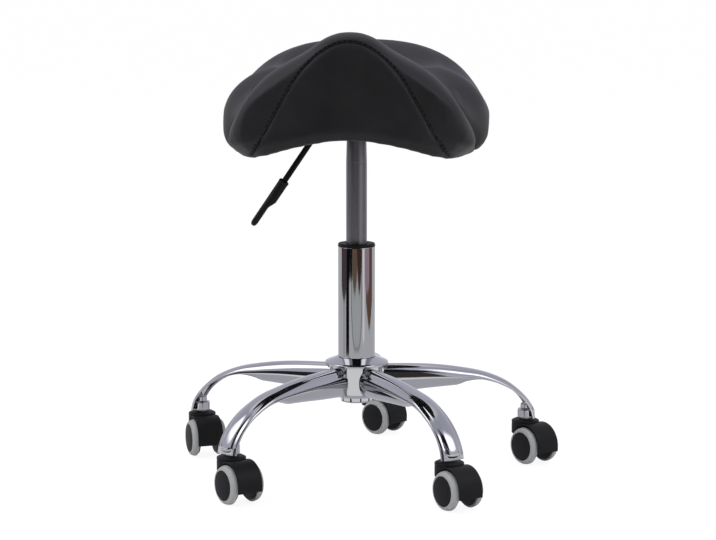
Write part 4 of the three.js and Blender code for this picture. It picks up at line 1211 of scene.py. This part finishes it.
def studio_world():
    """White backdrop, even light on the object, and, for glossy rays only, a painted reflection of a grey studio
    ceiling in polished metal.
    """
    world = bpy.data.worlds.new("studio")
    bpy.context.scene.world = world
    world.use_nodes = True
    tree = world.node_tree
    plain = tree.nodes["Background"]
    plain.inputs["Color"].default_value = (1, 1, 1, 1)
    path = add_node(tree, "ShaderNodeLightPath").outputs
    where = add_node(tree, "ShaderNodeTexCoord")
    split = add_node(tree, "ShaderNodeSeparateXYZ")
    link(tree, where.outputs["Generated"], split.inputs[0])
    ramp = add_node(tree, "ShaderNodeValToRGB")
    raised = add_node(tree, "ShaderNodeMapRange")
    raised.inputs["From Min"].default_value = -1
    raised.inputs["From Max"].default_value = 1
    link(tree, split.outputs["Z"], raised.inputs["Value"])
    link(tree, raised.outputs["Result"], ramp.inputs["Fac"])
    stops = ramp.color_ramp.elements
    stops[0].position, stops[0].color = 0.0, (1, 1, 1, 1)
    stops[1].position, stops[1].color = 0.545, (1, 1, 1, 1)
    for position, tone in ((0.568, (0.66, 0.66, 0.76, 1)), (0.8, (0.6, 0.6, 0.71, 1)), (1.0, (0.5, 0.5, 0.6, 1))):
        stop = stops.new(position)
        stop.color = tone
    mirrored_sky = add_node(tree, "ShaderNodeBackground", Strength=1.0)
    link(tree, ramp.outputs["Color"], mirrored_sky.inputs["Color"])
    lit = add_node(tree, "ShaderNodeBackground", Strength=0.75)
    lit.inputs["Color"].default_value = (1, 1, 1, 1)
    by_gloss = mixed(tree, path["Is Glossy Ray"], lit.outputs[0], mirrored_sky.outputs[0])
    direct = larger(tree, path["Is Camera Ray"], path["Is Transmission Ray"])
    link(tree, mixed(tree, direct, by_gloss, plain.outputs[0]), tree.nodes["World Output"].inputs["Surface"])


def card(name, corners, tone, soft=0):
    """A painted reflection: a card that only polished surfaces see. A soft one glows most in its middle."""
    mesh = bpy.data.meshes.new(name)
    mesh.from_pydata([tuple(c) for c in corners], [], [tuple(range(len(corners)))])
    panel = bpy.data.objects.new(name, mesh)
    bpy.context.scene.collection.objects.link(panel)
    material, tree, shader = new_material(name)
    tree.nodes.remove(shader)
    glow = add_node(tree, "ShaderNodeEmission", Color=(*tone, 1), Strength=1.0)
    out = tree.nodes["Material Output"].inputs["Surface"]
    if soft:
        where = add_node(tree, "ShaderNodeTexCoord")
        centred = add_node(tree, "ShaderNodeVectorMath", operation="SUBTRACT")
        centred.inputs[1].default_value = (0.5, 0.5, 0.5)
        link(tree, where.outputs["Generated"], centred.inputs[0])
        away = add_node(tree, "ShaderNodeVectorMath", operation="LENGTH")
        link(tree, centred.outputs[0], away.inputs[0])
        fading = add_node(tree, "ShaderNodeMapRange", interpolation_type="SMOOTHSTEP")
        fading.inputs["From Min"].default_value = 0.5
        fading.inputs["From Max"].default_value = 0.5 - soft
        link(tree, away.outputs["Value"], fading.inputs["Value"])
        clear = add_node(tree, "ShaderNodeBsdfTransparent")
        link(tree, mixed(tree, fading.outputs["Result"], clear.outputs[0], glow.outputs[0]), out)
    else:
        link(tree, glow.outputs[0], out)
    mesh.materials.append(material)
    for ray in ("camera", "diffuse", "shadow", "transmission"):
        setattr(panel, "visible_" + ray, False)


def bearing(azimuth, distance, height=0.0):
    """A place seen from the column: degrees to the right of the camera's side, metres out and up."""
    turn = math.atan2(-CAMERA_AWAY, CAMERA_RIGHT) + math.radians(azimuth)
    return Vector((AXIS.x + distance * math.cos(turn), AXIS.y + distance * math.sin(turn), height))


def floor_reflection_card(name, first, last, near, far, layer, tone, spread=0.0, point=2.0):
    """A painted reflection of a sector of the floor, whose near edge reaches closest in its middle."""
    count = 24
    shares = [k / count for k in range(count + 1)]
    height = 0.003 + 0.001 * layer
    inner = [bearing(mix(first, last, k), near + spread * abs(2 * k - 1) ** point, height) for k in shares]
    outer = [bearing(mix(first, last, k), far, height) for k in reversed(shares)]
    card(name, inner + outer, tone)


def standing_reflection_card(name, first, last, low, high, tone, soft=0.0):
    """A painted reflection on a card between two bearings, from a low (distance, height) to a high one, in metres.
    """
    corners = [bearing(first, *low), bearing(last, *low), bearing(last, *high), bearing(first, *high)]
    card(name, corners, tone, soft)


def softbox(name, position, target, width, height, power_w):
    light = bpy.data.lights.new(name, "AREA")
    light.shape = "RECTANGLE"
    light.size, light.size_y = width, height
    light.energy = power_w
    lamp = bpy.data.objects.new(name, light)
    bpy.context.scene.collection.objects.link(lamp)
    lamp.location = position
    lamp.visible_glossy = False
    lamp.rotation_euler = (Vector(target) - Vector(position)).to_track_quat("-Z", "Y").to_euler()


def camera():
    data = bpy.data.cameras.new("camera")
    data.lens = CAMERA_LENS
    data.sensor_width = SENSOR_WIDTH
    data.sensor_fit = "HORIZONTAL"
    data.clip_end = 100
    eye = bpy.data.objects.new("camera", data)
    bpy.context.scene.collection.objects.link(eye)
    eye.location = AXIS + Vector((CAMERA_RIGHT * MM, -CAMERA_AWAY * MM, CAMERA_HEIGHT * MM))
    eye.rotation_euler = (math.radians(90 - CAMERA_DOWN), 0, math.radians(CAMERA_TURN))
    bpy.context.scene.camera = eye


FLOOR_REACH = 30
FLOOR_LEVEL = -0.0002
floor_corners = [(x * FLOOR_REACH, y * FLOOR_REACH, FLOOR_LEVEL) for x, y in ((-1, -1), (1, -1), (1, 1), (-1, 1))]
floor_mesh = bpy.data.meshes.new("floor")
floor_mesh.from_pydata(floor_corners, [], [(0, 1, 2, 3)])
floor = bpy.data.objects.new("floor", floor_mesh)
bpy.context.scene.collection.objects.link(floor)
floor_mesh.materials.append(floor_material())

studio_world()
softbox("key", (-1.6, -1.2, 2.2), (0, 0, 0.4), 1.6, 1.6, 38)
softbox("fill", (1.9, -0.6, 1.9), (0, 0, 0.4), 1.4, 1.6, 28)
softbox("top", (0, 0.6, 2.6), (0, 0, 0.3), 2.2, 1.4, 30)
# Painted reflections of the floor round the stool, seen only in polished surfaces
FLOOR_REFLECTION_CARDS = [
    # Grey painted shadow of the floor under the stool, seen only in reflections
    ("floor_under_painted_shadow", -180, 180, 0.0, 0.46, (0.6, 0.6, 0.66)),
    ("floor_far", -180, 180, 0.8, 12, (0.64, 0.64, 0.67)),
    ("floor_pale_left", -92, -74, 0.84, 9, (0.5, 0.5, 0.53)),
    ("floor_tongue_edge", -33, 35, 0.9, 9, (0.2, 0.2, 0.2), 0.4, 4),
    ("floor_tongue", -29, 31, 0.925, 9, (0.54, 0.56, 0.56), 0.4, 4),
    ("floor_black_low", -68, -47, 0.84, 9, (0.006, 0.006, 0.008)),
    ("floor_dark_left", -106, -64, 1.42, 9, (0.085, 0.06, 0.065), 0.2),
    ("floor_black_high", -47, -26, 1.7, 9, (0.006, 0.006, 0.01)),
    ("floor_tan", -27, 4, 1.5, 9, (0.16, 0.115, 0.08), 0.3),
    ("floor_brown", 2, 33, 1.5, 9, (0.07, 0.03, 0.024), 0.5),
    ("floor_white", 38, 50, 0.95, 9, (0.95, 0.95, 0.95)),
    ("floor_brown_right", 60, 112, 1.05, 9, (0.16, 0.09, 0.065), 0.35, 1.5),
    ("floor_rose", 52, 86, 1.5, 9, (0.42, 0.3, 0.37), 0.1),
]
for layer, (name, first, last, near, far, tone, *rest) in enumerate(FLOOR_REFLECTION_CARDS):
    floor_reflection_card(name, first, last, near, far, layer, tone, *rest)
# Painted reflections of the dark room, its walls and frames, seen only in polished surfaces
standing_reflection_card("dark_room", -32, 28, (3.6, 0), (3.6, 2.6), (0.05, 0.045, 0.045))
standing_reflection_card("dark_wall_left", -62, -36, (3.4, 0.0), (3.4, 1.1), (0.03, 0.03, 0.035))
standing_reflection_card("frame_left", -134, -106, (3, 0.3), (3, 0.62), (0.03, 0.03, 0.035))
standing_reflection_card("frame_right", 84, 106, (3, 0.3), (3, 0.62), (0.05, 0.04, 0.04))
# Glowing cards that are no lamps: painted highlights on the chrome legs and the leather, seen only in polished
# surfaces
standing_reflection_card("left_painted_highlight", -112, -62, (2.2, 0.7), (0.7, 2.5), (2.4, 2.4, 2.45), 0.3)
standing_reflection_card("right_painted_highlight", 42, 88, (2.2, 0.6), (0.7, 2.5), (2.4, 2.4, 2.45), 0.3)
standing_reflection_card("black_ceiling", -36, 36, (1.5, 1.0), (1.2, 2.2), (0.012, 0.012, 0.014))
ceiling_corners = [bearing(-150, 3.2, 2.7), bearing(150, 3.2, 2.7), bearing(60, 0.9, 2.7), bearing(-60, 0.9, 2.7)]
card("ceiling_painted_highlight", ceiling_corners, (0.9, 0.9, 0.93), 0.3)
camera()

bpy.context.scene.view_settings.view_transform = "Standard"
